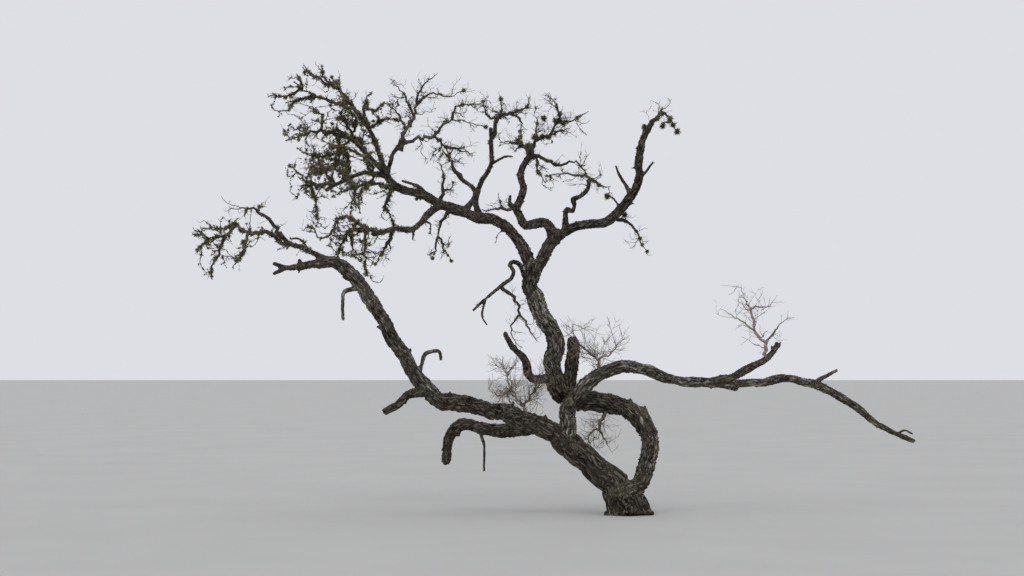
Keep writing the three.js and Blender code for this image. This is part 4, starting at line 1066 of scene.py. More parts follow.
class Wood(Enum):
    """The finishes of twigs."""

    DARK = PlainFinish("twig_dark", (0.055, 0.047, 0.038))
    GREY = PlainFinish("twig_grey", (0.120, 0.108, 0.090))
    PALE = PlainFinish("twig_pale", (0.340, 0.300, 0.240))
    REDDISH = PlainFinish("twig_reddish", (0.190, 0.110, 0.070))


class Growth(Enum):
    """The finishes of lichen and moss."""

    DARK_OLIVE = PlainFinish("lichen_dark", (0.092, 0.090, 0.044))
    OLIVE = PlainFinish("lichen_olive", (0.235, 0.228, 0.092))
    GOLD = PlainFinish("lichen_gold", (0.245, 0.190, 0.078))
    GREY = PlainFinish("lichen_grey", (0.350, 0.345, 0.250))


@dataclass
class Strand:
    """One line of a limb, finely divided, with the directions that the bark follows."""

    limb: str
    line: Line
    number: int
    free_end: bool
    along: Array
    side: Array
    cross: Array
    run: Array

    @classmethod
    def of(cls, limb: str, line: Line, number: int, free_end: bool) -> "Strand":
        """Works out the directions of a line.

        Args:
            limb: Its limb.
            line: The line.
            number: Its place among all strands.
            free_end: Whether it ends in the air.

        Returns:
            The strand.
        """
        along = line.tangents()
        sides = [square(along[0])]
        for direction in along[1:]:
            sides.append(unit(sides[-1] - direction * (sides[-1] @ direction)))
        side = np.array(sides)
        return cls(limb, line, number, free_end, along, side, np.cross(side, along), line.run())


@dataclass(frozen=True)
class KnotRule:
    """Knots and short broken side twigs on the limbs: their distances, leans, lengths and radii."""

    gap: float = 0.34
    first: Span = (0.5, 1.2)
    onward: Span = (0.5, 1.6)
    before_end: float = 0.05
    least_radius: float = 0.024
    lowest: float = 0.45
    lean: Span = (0.9, 1.4)
    thick: Span = (0.26, 0.42)
    length: tuple[float, float, float] = (1.25, 0.012, 0.05)
    bend: float = 0.2
    knee: float = 0.6
    taper: tuple[float, float, float] = (1.3, 1.0, 0.62)


@dataclass
class BarkSkin:
    """The bark: one skin over the trunk and all limbs, parted into a few pieces.

    The skin is the outside of all limbs together, so that they flow into each other, and its
    relief follows each limb.
    """

    skeleton: Skeleton
    finish: BarkFinish
    knots: KnotRule = KnotRule()
    seed: int = 77
    voxel: float = 0.0100
    ring_step: float = 0.045
    sides: int = 18
    collar: float = 0.42
    wobble: float = 0.15
    plate: float = 0.016
    plate_growth: float = 0.13
    plate_length: float = 4.2
    relief_share: float = 0.085
    relief_least: float = 0.0014
    relief_most: float = 0.17
    lumps: float = 0.16
    seam: float = 0.02
    broken_past: float = 0.14
    broken_least: float = 0.028
    jag: float = 0.75
    jag_scale: float = 42
    even_rounds: int = 3
    crotch_rounds: int = 14
    smoothing: float = 0.5
    sharpening: float = -0.52
    usual_crust: float = 0.30

    RUNS_ON = {"trunk", "low_limb", "left_stem", "arch_leg", "arch_beam", "upright", "right_bough",
               "right_limb"}

    def __post_init__(self) -> None:
        """Divides the limbs finely and makes them as crooked as wood is."""
        self.strands: list[Strand] = []
        for name, lines in self.skeleton.limbs.items():
            for k, line in enumerate(lines):
                rough = self.roughened(line.refined(self.ring_step), len(self.strands), name, k)
                self.add(name, rough, k > 0 or name not in self.RUNS_ON)
        dice = np.random.default_rng(self.seed)
        for strand in self.strands[:]:
            self.add_knots(strand, dice)
        self.add_ridges(dice)

    def add(self, limb: str, line: Line, free_end: bool) -> None:
        """Adds a strand to a limb."""
        self.strands.append(Strand.of(limb, line, len(self.strands), free_end))

    def add_ridges(self, dice: np.random.Generator) -> None:
        """Sets ridges on the foot of the trunk, down to the ground.

        Args:
            dice: The dice that turn them.
        """
        trunk = self.strands[0].line
        start = trunk.points[np.argmin(np.abs(trunk.points[:, 2] - RIDGE_START))]
        for k in range(RIDGES):
            angle = 2 * math.pi * (k + dice.uniform(*RIDGE_TURN)) / RIDGES
            out = np.array([math.cos(angle), math.sin(angle), 0.0])
            points = np.array([start, start * 0.5 + out * RIDGE_REACH * RIDGE_KNEE[0], out * RIDGE_REACH])
            points[:, 2] = (start[2], start[2] * RIDGE_KNEE[1], RIDGE_END)
            self.add("trunk", Line(points, np.array(RIDGE_RADII)).refined(self.ring_step), False)

    def add_knots(self, strand: Strand, dice: np.random.Generator) -> None:
        """Sets knots and short broken side twigs on a limb.

        Args:
            strand: The limb's strand.
            dice: The dice that set them.
        """
        rule = self.knots
        at = rule.gap * dice.uniform(*rule.first)
        while at < strand.run[-1] - rule.before_end:
            k = int(np.searchsorted(strand.run, at)) - 1
            radius, root = float(strand.line.radii[k]), strand.line.points[k]
            lean, phase = dice.uniform(*rule.lean), dice.uniform(0, 2 * math.pi)
            stretch, thick = dice.uniform(0.0, 1.0) ** 2, dice.uniform(*rule.thick)
            at += rule.gap * dice.uniform(*rule.onward)
            if radius < rule.least_radius or root[2] < rule.lowest:
                continue
            way = turned_out(strand.along[k], lean, phase)
            length = radius * rule.length[0] + rule.length[1] + rule.length[2] * stretch
            bend = unit(way + dice.normal(0, rule.bend, 3))
            middle = root + way * length * rule.knee
            points = np.array([root, middle, middle + bend * length * (1 - rule.knee)])
            self.add(strand.limb, Line(points, radius * thick * np.array(rule.taper)), True)

    def roughened(self, line: Line, number: int, name: str, order: int) -> Line:
        """A line with finer crooks and swellings, and a collar where it branches off.

        Args:
            line: The line.
            number: Its place among all strands.
            name: Its limb.
            order: 0 for the limb itself, more for its stubs.

        Returns:
            The rougher line.
        """
        last = len(line.points) - 1
        run = line.run()
        points, radii = line.points.copy(), line.radii.copy()
        for k in range(1, last):
            spot = Vector((run[k] / (3.2 * line.radii[k] + 0.05), 3.7 * number, 0.5))
            fade = min(1.0, (last - k) / 3, k / 2)
            points[k] += np.array(noise.noise_vector(spot)) * self.wobble * 1.6 * line.radii[k] * fade
            radii[k] *= 1 + self.wobble * noise.noise(spot + Vector((0, 0, 9.3))) * 1.4
        for way, thick in self.host(name, order, line.points[0]):
            turn = abs(float(way @ line.tangents()[min(2, last)]))
            slimmer = 1 - min(1.0, line.radii[0] / thick) * 0.5
            beyond = np.maximum(run - 0.9 * thick, 0) / (1.3 * line.radii[0])
            radii *= 1 + self.collar * (1 - turn * turn) * slimmer * 1.5 * np.exp(-beyond)
        return Line(points, radii)

    def host(self, name: str, order: int, root: Array) -> list[tuple[Array, float]]:
        """The way and the radius of the wood that a limb or stub grows from, at its root.

        Args:
            name: The limb.
            order: 0 for the limb itself, more for its stubs.
            root: Where it starts.

        Returns:
            The two as one pair, or nothing for the trunk.
        """
        parent = next(plan.parent for plan in LIMBS if plan.name == name)
        lines = self.skeleton.limbs[name][:1] if order else self.skeleton.limbs.get(parent, [])
        if not lines:
            return []
        best = min(lines, key=lambda other: np.linalg.norm(other.points - root, axis=1).min())
        near = np.argmin(np.linalg.norm(best.points - root, axis=1))
        return [(best.tangents()[near], float(best.radii[near]))]

    def sweep(self, wood: Body, strand: Strand) -> None:
        """Extrudes a ring along a strand into a closed body.

        Args:
            wood: The mesh that the body goes into.
            strand: The strand.
        """
        places = [self.ring_matrix(strand, k, strand.line.radii[k]) for k in range(len(strand.run))]
        if strand.free_end:
            tip = float(strand.line.radii[-1])
            for share, ahead in ((0.82, 0.16), (0.45, 0.30)):
                over = Matrix.Translation(Vector(strand.along[-1] * ahead * tip))
                places.append(over @ self.ring_matrix(strand, -1, share * tip))
        ring = bmesh.ops.create_circle(wood, cap_ends=True, segments=self.sides, radius=1.0,
                                       matrix=places[0])["verts"]
        face = ring[0].link_faces[0]
        rings = [ring]
        for before, after in zip(places, places[1:]):
            grown = bmesh.ops.extrude_face_region(wood, geom=[face])["geom"]
            ring = [part for part in grown if isinstance(part, bmesh.types.BMVert)]
            face = next(part for part in grown if isinstance(part, bmesh.types.BMFace))
            bmesh.ops.transform(wood, matrix=after @ before.inverted(), verts=ring)
            rings.append(ring)
        if strand.number == 0:
            self.flare(strand, rings)

    @staticmethod
    def ring_matrix(strand: Strand, k: int, radius: float) -> Matrix:
        """Where a ring lies.

        Args:
            strand: Its strand.
            k: Its number.
            radius: Its radius.

        Returns:
            The matrix that brings a circle of radius 1 there.
        """
        columns = (strand.side[k] * radius, strand.cross[k] * radius, strand.along[k] * radius)
        matrix = Matrix(np.array(columns).T.tolist()).to_4x4()
        matrix.translation = Vector(strand.line.points[k])
        return matrix

    @staticmethod
    def flare(strand: Strand, rings: list) -> None:
        """Spreads the foot of the trunk in lobes.

        Args:
            strand: The trunk's strand.
            rings: The vertices of each of its rings.
        """
        for k, ring in enumerate(rings[:len(strand.run)]):
            centre = Vector(strand.line.points[k])
            fade = math.exp(-max(centre.z, 0.0) / FLARE_HEIGHT)
            for vertex in ring:
                out = (vertex.co - centre).normalized()
                angle = math.atan2(out.dot(Vector(strand.cross[k])), out.dot(Vector(strand.side[k])))
                lobe = 1 + FLARE_LOBE_DEPTH * math.cos(FLARE_LOBES * angle)
                vertex.co += out * FLARE_SPREAD * fade * lobe

    def fused(self) -> bpy.types.Mesh:
        """Joins all limbs into one closed skin of even faces.

        Returns:
            The skin.
        """
        wood = bmesh.new()
        for strand in self.strands:
            self.sweep(wood, strand)
        bmesh.ops.recalc_face_normals(wood, faces=wood.faces)
        mesh = bpy.data.meshes.new("wood")
        wood.to_mesh(mesh)
        wood.free()
        carrier = placed("wood", mesh)
        skin = carrier.modifiers.new("Skin", "REMESH")
        skin.mode = "VOXEL"
        skin.voxel_size = self.voxel
        evaluated = carrier.evaluated_get(bpy.context.evaluated_depsgraph_get())
        fused = bpy.data.meshes.new_from_object(evaluated)
        bpy.data.objects.remove(carrier)
        return fused

    def crotch_weight(self, points: Array) -> Array:
        """How near points are to a place where limbs part.

        Args:
            points: The points.

        Returns:
            A share from 0 to 1 for each.
        """
        weight = np.zeros(len(points))
        for strand in self.strands[1:]:
            root = strand.line.points[0]
            reach = max(self.radius_at_root(strand), float(strand.line.radii[0])) * 2.3
            distance = np.linalg.norm(points - root, axis=1)
            weight = np.maximum(weight, 1 - smoothstep(distance, 0.55 * reach, reach))
        return weight

    def radius_at_root(self, strand: Strand) -> float:
        """The radius of the wood that a strand is rooted in.

        Args:
            strand: The strand.

        Returns:
            The radius, or 0 where there is none.
        """
        nearest = 0.0
        for other in self.strands:
            distance = np.linalg.norm(other.line.points - strand.line.points[0], axis=1)
            if other is not strand and distance.min() < 0.06:
                nearest = max(nearest, float(other.line.radii[np.argmin(distance)]))
        return nearest

    def follow(self, points: Array) -> dict[str, Array]:
        """Finds for each point of the skin the strand that it lies on, and where on it.

        Args:
            points: The points.

        Returns:
            For each point: the strand, the distance along it, the angle round it, its radius, how
            much further the next best strand's surface lies, and how far past a free end it lies.
        """
        count = len(points)
        found = {"strand": np.zeros(count, dtype=int), "run": np.zeros(count), "angle": np.zeros(count),
                 "radius": np.full(count, 0.05), "gap": np.full(count, 1.0), "past": np.zeros(count)}
        best = np.full(count, np.inf)
        for strand in self.strands:
            line = strand.line
            margin = float(line.radii.max()) * 1.7 + 0.22 * (strand.number == 0) + 0.03
            near = np.all((points > line.points.min(0) - margin) & (points < line.points.max(0) + margin), 1)
            picked = np.flatnonzero(near)
            for part in np.array_split(picked, max(1, len(picked) // 12000)):
                if len(part) == 0:
                    continue
                starts, spans = line.points[:-1], np.diff(line.points, axis=0)
                offset = points[part][:, None, :] - starts[None]
                whole = np.einsum("psc,sc->ps", offset, spans) / np.sum(spans**2, axis=1)
                share = np.clip(whole, 0, 1)
                apart = np.linalg.norm(offset - share[..., None] * spans, axis=2)
                radius = line.radii[:-1] + share * np.diff(line.radii)
                over = apart - radius
                segment = np.argmin(over, axis=1)
                rows = np.arange(len(part))
                whole, over, radius = whole[rows, segment], over[rows, segment], radius[rows, segment]
                last = segment == len(spans) - 1
                share = np.clip(whole, np.where(segment == 0, -8, 0), np.where(last, 8, 1))
                better = over < best[part]
                found["gap"][part] = np.where(better, np.minimum(best[part] - over, 1.0),
                                              np.minimum(found["gap"][part], over - best[part]))
                on, segment, share = part[better], segment[better], share[better]
                out = points[on] - (starts[segment] + share[:, None] * spans[segment])
                side = np.sum(out * strand.side[segment], axis=1)
                cross = np.sum(out * strand.cross[segment], axis=1)
                found["strand"][on] = strand.number
                found["run"][on] = strand.run[segment] + share * np.diff(strand.run)[segment]
                found["angle"][on] = np.arctan2(cross, side)
                found["radius"][on] = radius[better]
                length = np.linalg.norm(spans[segment], axis=1)
                past = np.maximum(share - 1, 0) * length / radius[better]
                found["past"][on] = past if strand.free_end else 0.0
                best[on] = over[better]
        return found

    def relief(self, way: Array, radius: Array) -> Array:
        """The plates and furrows of the bark, worked out in coordinates that follow the limbs.

        Args:
            way: Those coordinates.
            radius: The radius of the wood.

        Returns:
            How high each point of the bark stands, from 0 in a furrow to 1 on a plate.
        """
        cell = self.plate + self.plate_growth * np.round(radius, 2)
        height = np.empty(len(way))
        for k, spot in enumerate(way / np.column_stack([cell, cell, cell * self.plate_length])):
            spot = Vector(spot)
            shift = noise.noise_vector(spot * 0.55)
            spot += shift * 0.75
            near, next_near = noise.voronoi(spot)[0][:2]
            height[k] = (next_near - near) + 0.35 * noise.noise(spot * 2.7) + 0.12 * shift.x
        return smoothstep(height, -0.05, 0.42)

    def smoothed(self, mesh: bpy.types.Mesh) -> tuple[Array, Array]:
        """Smooths the skin, most where limbs part.

        Args:
            mesh: The skin.

        Returns:
            Its points and their normals.
        """
        points = read(mesh.vertices, "co", 3)
        edges = read(mesh.edges, "vertices", 2, np.int32)
        LOG.info("skin of %d points", len(points))
        even = np.ones(len(points))
        for _ in range(self.even_rounds):
            points = relaxed(points, edges, self.smoothing * even)
            points = relaxed(points, edges, self.sharpening * even)
        crotch = self.crotch_weight(points)
        for _ in range(self.crotch_rounds):
            points = relaxed(points, edges, self.smoothing * crotch)
        mesh.vertices.foreach_set("co", points.ravel())
        mesh.update()
        return points, read(mesh.vertex_normals, "vector", 3)

    def dressed(self) -> bpy.types.Mesh:
        """Gives the skin its relief, and at each point what its finish needs to know.

        Returns:
            The whole skin.
        """
        mesh = self.fused()
        points, normals = self.smoothed(mesh)
        on = self.follow(points)
        radius, angle = on["radius"], on["angle"]
        way = np.column_stack([radius * np.cos(angle), radius * np.sin(angle) + 3.17 * on["strand"],
                               on["run"]])
        coarse = way / np.maximum(radius * 1.5, 0.03)[:, None]
        swell = noise_of(coarse) + 0.55 * noise_of(coarse * 2.6 + 5)
        height = self.relief(way, radius)
        calm = smoothstep(on["gap"], 0.0, self.seam)
        seam = calm < 1
        height[seam] *= calm[seam]
        height[seam] += (1 - calm[seam]) * self.relief(points[seam], 0.6 * radius[seam])
        depth = self.relief_least + self.relief_share * np.minimum(radius, self.relief_most)
        rise = depth * (1.15 * height - 0.80) + self.lumps * radius * swell * calm
        points = points + normals * rise[:, None]
        broken = smoothstep(on["past"], 0.0, self.broken_past) * (radius > self.broken_least)
        ends = np.array([strand.along[-1] for strand in self.strands])[on["strand"]]
        jags = noise_of(points * self.jag_scale) * (broken > 0)
        points += ends * (broken * self.jag * radius * jags)[:, None]
        mesh.vertices.foreach_set("co", points.ravel())
        shares = {"relief": height, "crust": self.crust(points, on["strand"]), "broken": broken,
                  "raw": nearness(points, RAW_PLACES), "rust": nearness(points, RUST_PLACES),
                  "moss": nearness(points, MOSS_PLACES)}
        for name, share in shares.items():
            mesh.attributes.new(name, "FLOAT", "POINT").data.foreach_set("value", share.astype(np.float32))
        attribute = mesh.attributes.new("bark_way", "FLOAT_VECTOR", "POINT")
        attribute.data.foreach_set("vector", way.astype(np.float32).ravel())
        return mesh

    def crust(self, points: Array, strand: Array) -> Array:
        """How much pale lichen grows at each point: by limb, and in patches."""
        by_strand = np.array([CRUST.get(strand.limb, self.usual_crust) for strand in self.strands])
        return np.clip(by_strand[strand] + 0.25 * noise_of(points * 2.3), 0, 1)

    def build(self) -> list[bpy.types.Object]:
        """Makes the pieces of the bark, each closed, with the trunk cut flat at the ground.

        Returns:
            The pieces.
        """
        whole = self.dressed()
        wood = bmesh.new()
        wood.from_mesh(whole)
        bpy.data.meshes.remove(whole)
        geometry = wood.verts[:] + wood.edges[:] + wood.faces[:]
        bmesh.ops.bisect_plane(wood, geom=geometry, plane_co=(0, 0, 0), plane_no=(0, 0, 1), clear_inner=True)
        self.close(wood)
        for limb, distance in CUTS.items():
            self.cut(wood, limb, distance)
        self.close(wood)
        return [self.piece(wood, name, seed) for name, seed in PIECES.items()]

    def first_of(self, limb: str) -> Strand:
        """The strand of a limb itself."""
        return next(strand for strand in self.strands if strand.limb == limb)

    def cut(self, wood: Body, limb: str, distance: float) -> None:
        """Saws one limb through, square to its run.

        Args:
            wood: The mesh of the skin.
            limb: The limb.
            distance: How far from its root.
        """
        strand = self.first_of(limb)
        k = int(np.searchsorted(strand.run, distance))
        centre = Vector(strand.line.points[k])
        reach = 2.2 * float(strand.line.radii[k]) + 0.03
        near = [face for face in wood.faces if (face.calc_center_median() - centre).length < reach]
        edges = {edge for face in near for edge in face.edges}
        corners = {corner for face in near for corner in face.verts}
        sawn = bmesh.ops.bisect_plane(wood, geom=[*corners, *edges, *near], plane_co=centre,
                                      plane_no=Vector(strand.along[k]))["geom_cut"]
        bmesh.ops.split_edges(wood, edges=[part for part in sawn if isinstance(part, bmesh.types.BMEdge)])

    def piece(self, wood: Body, name: str, seed: str) -> bpy.types.Object:
        """Takes the part of the skin that hangs together with one limb as a piece of its own.

        Args:
            wood: The mesh of all pieces.
            name: The name of the piece.
            seed: The limb that it is found by.

        Returns:
            The piece.
        """
        line = self.first_of(seed).line
        middle = Vector(line.points[len(line.points) // 2])
        first = min(wood.verts, key=lambda vertex: (vertex.co - middle).length_squared)
        found, rim = {first}, [first]
        while rim:
            for edge in rim.pop().link_edges:
                for vertex in edge.verts:
                    if vertex not in found:
                        found.add(vertex)
                        rim.append(vertex)
        own = wood.copy()
        own.verts.ensure_lookup_table()
        kept = {vertex.index for vertex in found}
        others = [vertex for vertex in own.verts if vertex.index not in kept]
        bmesh.ops.delete(own, geom=others, context="VERTS")
        mesh = bpy.data.meshes.new(f"bark_{name}")
        own.to_mesh(mesh)
        own.free()
        return set_out(mesh, [self.finish], STANDS_FOR[name])

    @staticmethod
    def close(wood: Body) -> None:
        """Closes each open ring with a fan of faces.

        Args:
            wood: The mesh with the rings.
        """
        for face in wood.faces:
            face.smooth = True
        rim = [edge for edge in wood.edges if edge.is_boundary]
        for edge in rim:
            edge.smooth = False
        caps = bmesh.ops.holes_fill(wood, edges=rim, sides=0)["faces"]
        for face in caps:
            face.smooth = False
        bmesh.ops.poke(wood, faces=caps)
        bmesh.ops.recalc_face_normals(wood, faces=wood.faces)


# Where the bark is parted: each limb that is sawn through, and how far from its root
CUTS = {"upright": 0.95, "low_limb": 0.80, "right_limb": 1.05}

# The pieces of the bark, and the limb that each is found by
PIECES = {"bole": "arch_beam", "left": "left_tip", "right": "right_limb_end", "crown": "left_bough"}

# The solids that each piece stands for
STANDS_FOR = {
    "bole": ("trunk", "arch_leg", "arch_beam", "upright_stub", "foot_bough", "back_limb", "upright",
             "low_limb", "right_limb"),
    "left": ("low_limb", "left_stem", "left_tip", "left_spur", "far_left_bough"),
    "right": ("right_limb", "right_limb_end", "right_rise"),
    "crown": ("upright", "left_bough", "right_bough", "middle_bough", "right_crown_bough",
              "small_mid_bough", "inner_bough", "forked_bough", "low_bough", "hook_bough",
              "crown_bough_top", "crown_bough_left", "crown_bough_low", "crown_bough_mid"),
}

# How much pale lichen each limb carries, where it isn't the usual share
# The low shares of the trunk and the low limb are partly their sparse flecks and partly painted shade of the
# undergrowth
CRUST = {"arch_leg": 0.54, "arch_beam": 0.42, "right_limb": 0.60, "right_limb_end": 0.58,
         "right_rise": 0.50, "left_stem": 0.56, "low_limb": 0.34, "trunk": 0.24, "upright": 0.62,
         "middle_bough": 0.20, "right_crown_bough": 0.14, "right_bough": 0.44}

# Places and their reach where the wood is bare and pale, where it is reddish, and where it is mossy
RAW_PLACES = (((-270, 1500, 350), 110), ((2610, 1790, 1180), 150), ((3550, 1000, 1420), 170),
              ((-4437, 3137, -1500), 90), ((-3562, 2425, -1280), 120))
RUST_PLACES = (((-1300, 3225, 380), 160), ((-938, 3388, 250), 130), ((1362, 1590, 930), 190))
MOSS_PLACES = (((37, 1262, 350), 180), ((-87, 3788, -360), 170), ((-1400, 3825, 440), 190),
               ((-1225, 4650, 700), 180))


def nearness(points: Array, places: tuple) -> Array:
    """How near points are to one of some places.

    Args:
        points: The points.
        places: Waypoints, each with how far it reaches in millimetres.

    Returns:
        A share from 0 to 1 for each point.
    """
    share = np.zeros(len(points))
    for waypoint, reach in places:
        distance = np.linalg.norm(points - place(waypoint), axis=1)
        share = np.maximum(share, 1 - smoothstep(distance, 0.35 * reach * MM, reach * MM))
    return share


def relaxed(points: Array, edges: Array, weight: Array) -> Array:
    """Moves each point of a mesh towards the middle of its neighbours.

    Args:
        points: The points.
        edges: The two ends of each edge.
        weight: How far each point moves, as a share of the way.

    Returns:
        The moved points.
    """
    ends = np.concatenate([edges[:, 0], edges[:, 1]])
    others = np.concatenate([edges[:, 1], edges[:, 0]])
    count = np.bincount(ends, minlength=len(points))
    middle = np.column_stack([
        np.bincount(ends, weights=points[others, axis], minlength=len(points)) for axis in range(3)
    ]) / np.maximum(count, 1)[:, None]
    return points + (middle - points) * weight[:, None]


def read(items: bpy.types.bpy_prop_collection, name: str, width: int, kind: type = float) -> Array:
    """The values that parts of a mesh have under some name.

    Args:
        items: The parts.
        name: The name.
        width: How many values each part has.
        kind: The kind of number.

    Returns:
        The values, a row for each part.
    """
    values = np.empty(len(items) * width, dtype=kind)
    items.foreach_get(name, values)
    return values.reshape(-1, width)


def placed(name: str, data: bpy.types.ID) -> bpy.types.Object:
    """Puts data in the scene.

    Args:
        name: The name of the object.
        data: The data that it shows.

    Returns:
        The object.
    """
    thing = bpy.data.objects.new(name, data)
    bpy.context.collection.objects.link(thing)
    return thing


def set_out(mesh: bpy.types.Mesh, finishes: list, nodes: list[str]) -> bpy.types.Object:
    """Sets a mesh out as a piece of the tree and says in the log that it is made.

    Args:
        mesh: The mesh.
        finishes: Its finishes, in the order of their numbers.
        nodes: The solids that it stands for.

    Returns:
        The piece.
    """
    for finish in finishes:
        mesh.materials.append(bpy.data.materials.get(finish.name) or finish.material())
    piece = placed(mesh.name, mesh)
    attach(piece, "root")
    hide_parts(*nodes)
    LOG.info("%s: %d triangles", piece.name, sum(len(face.vertices) - 2 for face in mesh.polygons))
    return piece


class Gathered:
    """Small closed bodies, gathered as arrays and joined into one mesh."""

    def __init__(self) -> None:
        """Starts with none."""
        self.points: list[Array] = []
        self.corners: list[Array] = []
        self.sizes: list[Array] = []
        self.finishes: list[Array] = []
        self.count = self.triangles = 0

    def add(self, points: Array, faces: list[Array], finishes: list[Array]) -> None:
        """Adds bodies.

        Args:
            points: Their points, a row each.
            faces: Faces as rows of point numbers, an array for each number of corners.
            finishes: The number of the finish of each face, an array for each array of faces.
        """
        self.points.append(points)
        for rows, numbers in zip(faces, finishes):
            self.corners.append((rows + self.count).ravel())
            self.sizes.append(np.full(len(rows), rows.shape[1]))
            self.finishes.append(numbers)
            self.triangles += len(rows) * (rows.shape[1] - 2)
        self.count += len(points)

    def tubes(self, routes: Array, radii: Array, sides: int, finish: Array) -> None:
        """Adds closed tubes with the same number of points each.

        Args:
            routes: The points of each tube: tubes, points, 3.
            radii: The radius at each point: tubes, points.
            sides: How many sides a tube has.
            finish: The number of each tube's finish.
        """
        tubes, rings = radii.shape
        if tubes == 0:
            return
        ahead = np.concatenate([routes[:, 1:], routes[:, -1:]], axis=1)
        behind = np.concatenate([routes[:, :1], routes[:, :-1]], axis=1)
        along = unit(ahead - behind)
        side = np.empty_like(along)
        side[:, 0] = square(along[:, 0])
        for k in range(1, rings):
            side[:, k] = unit(crosswise(side[:, k - 1], along[:, k]))
        cross = np.cross(side, along)
        turn = np.arange(sides) * 2 * math.pi / sides
        out = side[:, :, None] * np.cos(turn)[:, None] + cross[:, :, None] * np.sin(turn)[:, None]
        points = routes[:, :, None] + out * radii[:, :, None, None]
        numbers = np.arange(tubes * rings * sides).reshape(tubes, rings, sides)
        onward = np.roll(numbers, -1, axis=2)
        walls = np.stack([numbers[:, :-1], numbers[:, 1:], onward[:, 1:], onward[:, :-1]], axis=-1)
        ends = np.concatenate([numbers[:, 0], numbers[:, -1, ::-1]])
        self.add(points.reshape(-1, 3), [walls.reshape(-1, 4), ends],
                 [np.repeat(finish, (rings - 1) * sides), np.tile(finish, 2)])

    def lobes(self, roots: Array, out: Array, lengths: Array, widths: Array, finish: Array) -> None:
        """Adds slim lobes of four faces each.

        Args:
            roots: Where each is rooted.
            out: Where each points to.
            lengths: How long each is.
            widths: How wide each is at its foot.
            finish: The number of each lobe's finish.
        """
        side = square(out)
        cross = np.cross(side, out)
        wide = widths[:, None]
        points = np.stack([roots + side * wide * 0.5, roots - side * wide * 0.5 + cross * wide * 0.2,
                           roots - cross * wide * 0.45, roots + out * lengths[:, None]], axis=1)
        numbers = np.arange(len(roots) * 4).reshape(-1, 4)
        order = ([0, 1, 2], [0, 3, 1], [1, 3, 2], [2, 3, 0])
        faces = np.concatenate([numbers[:, corners] for corners in order])
        self.add(points.reshape(-1, 3), [faces], [np.tile(finish, 4)])

    def mesh(self, name: str) -> bpy.types.Mesh:
        """Joins the bodies.

        Args:
            name: The name of the mesh.

        Returns:
            The mesh.
        """
        mesh = bpy.data.meshes.new(name)
        points = np.concatenate(self.points).astype(np.float32)
        corners = np.concatenate(self.corners).astype(np.int32)
        sizes = np.concatenate(self.sizes)
        starts = np.concatenate([[0], np.cumsum(sizes)[:-1]]).astype(np.int32)
        mesh.vertices.add(len(points))
        mesh.vertices.foreach_set("co", points.ravel())
        mesh.loops.add(len(corners))
        mesh.loops.foreach_set("vertex_index", corners)
        mesh.polygons.add(len(starts))
        mesh.polygons.foreach_set("loop_start", starts)
        mesh.polygons.foreach_set("material_index", np.concatenate(self.finishes).astype(np.int32))
        mesh.update(calc_edges=True)
        wood = bmesh.new()
        wood.from_mesh(mesh)
        bmesh.ops.recalc_face_normals(wood, faces=wood.faces)
        wood.to_mesh(mesh)
        wood.free()
        return mesh


@dataclass
class Spots:
    """Places on wood, with the way of the wood and its radius at each."""

    at: Array
    along: Array
    radii: Array

    def __getitem__(self, rows: Array) -> "Spots":
        """Some of the places."""
        return Spots(self.at[rows], self.along[rows], self.radii[rows])


@dataclass(frozen=True)
class CoverLook:
    """What a cover looks like: how fine twigs and lichen are dealt out on the wood.

    Gaps and lengths are in metres, and the colours are the shares of dark olive, olive, gold
    and grey.
    """

    slim: float
    bend: float
    side_gap: float
    side_length: Span
    side_radius: float
    twig_gap: float
    twig_length: Span
    twiglets: int
    sleeve: float
    cluster_gap: float
    lobes: int
    lobe_length: Span
    tuft_gap: float
    colours: tuple[float, float, float, float]
    woods: tuple[float, float, float, float]


LOOKS = {
    THICK: CoverLook(0.85, 0.42, 0.085, (0.12, 0.42), 0.0048, 0.095, (0.05, 0.16), 1, 0.92, 0.0155, 8,
                     (0.013, 0.040), 1.4, (0.28, 0.44, 0.08, 0.20), (0.6, 0.4, 0.0, 0.0)),
    PATCHY: CoverLook(0.72, 0.36, 0.200, (0.10, 0.30), 0.0042, 0.075, (0.05, 0.18), 2, 0.46, 0.015, 8,
                      (0.010, 0.030), 0.9, (0.28, 0.44, 0.08, 0.20), (0.7, 0.3, 0.0, 0.0)),
    BARE: CoverLook(0.68, 0.36, 0.250, (0.10, 0.28), 0.0040, 0.090, (0.05, 0.16), 1, 0.10, 0.03, 4,
                    (0.008, 0.018), 0.0, (0.4, 0.3, 0.0, 0.3), (0.6, 0.35, 0.05, 0.0)),
    WEATHERED: CoverLook(0.50, 0.15, 0.060, (0.16, 0.55), 0.0036, 0.085, (0.08, 0.26), 2, 0.05, 0.04, 4,
                         (0.007, 0.014), 0.0, (0.2, 0.3, 0.0, 0.5), (0.08, 0.34, 0.46, 0.12)),
}

# How full a mass is, where it isn't the usual 1
FULLNESS = {"crown_top": 0.18, "crown_upper_left": 0.16, "crown_core": 1.1, "crown_mid_left": 0.6,
            "crown_front": 0.7, "crown_side": 0.5, "crown_back": 0.5, "crown_low_left": 0.5,
            "far_left_lower": 0.36, "far_left_upper": 0.34, "low_bough": 0.6, "bough_end": 0.5,
            "right_rise": 0.30, "arch_top": 1.3, "low_fork": 2.6, "arch_inner": 2.4}

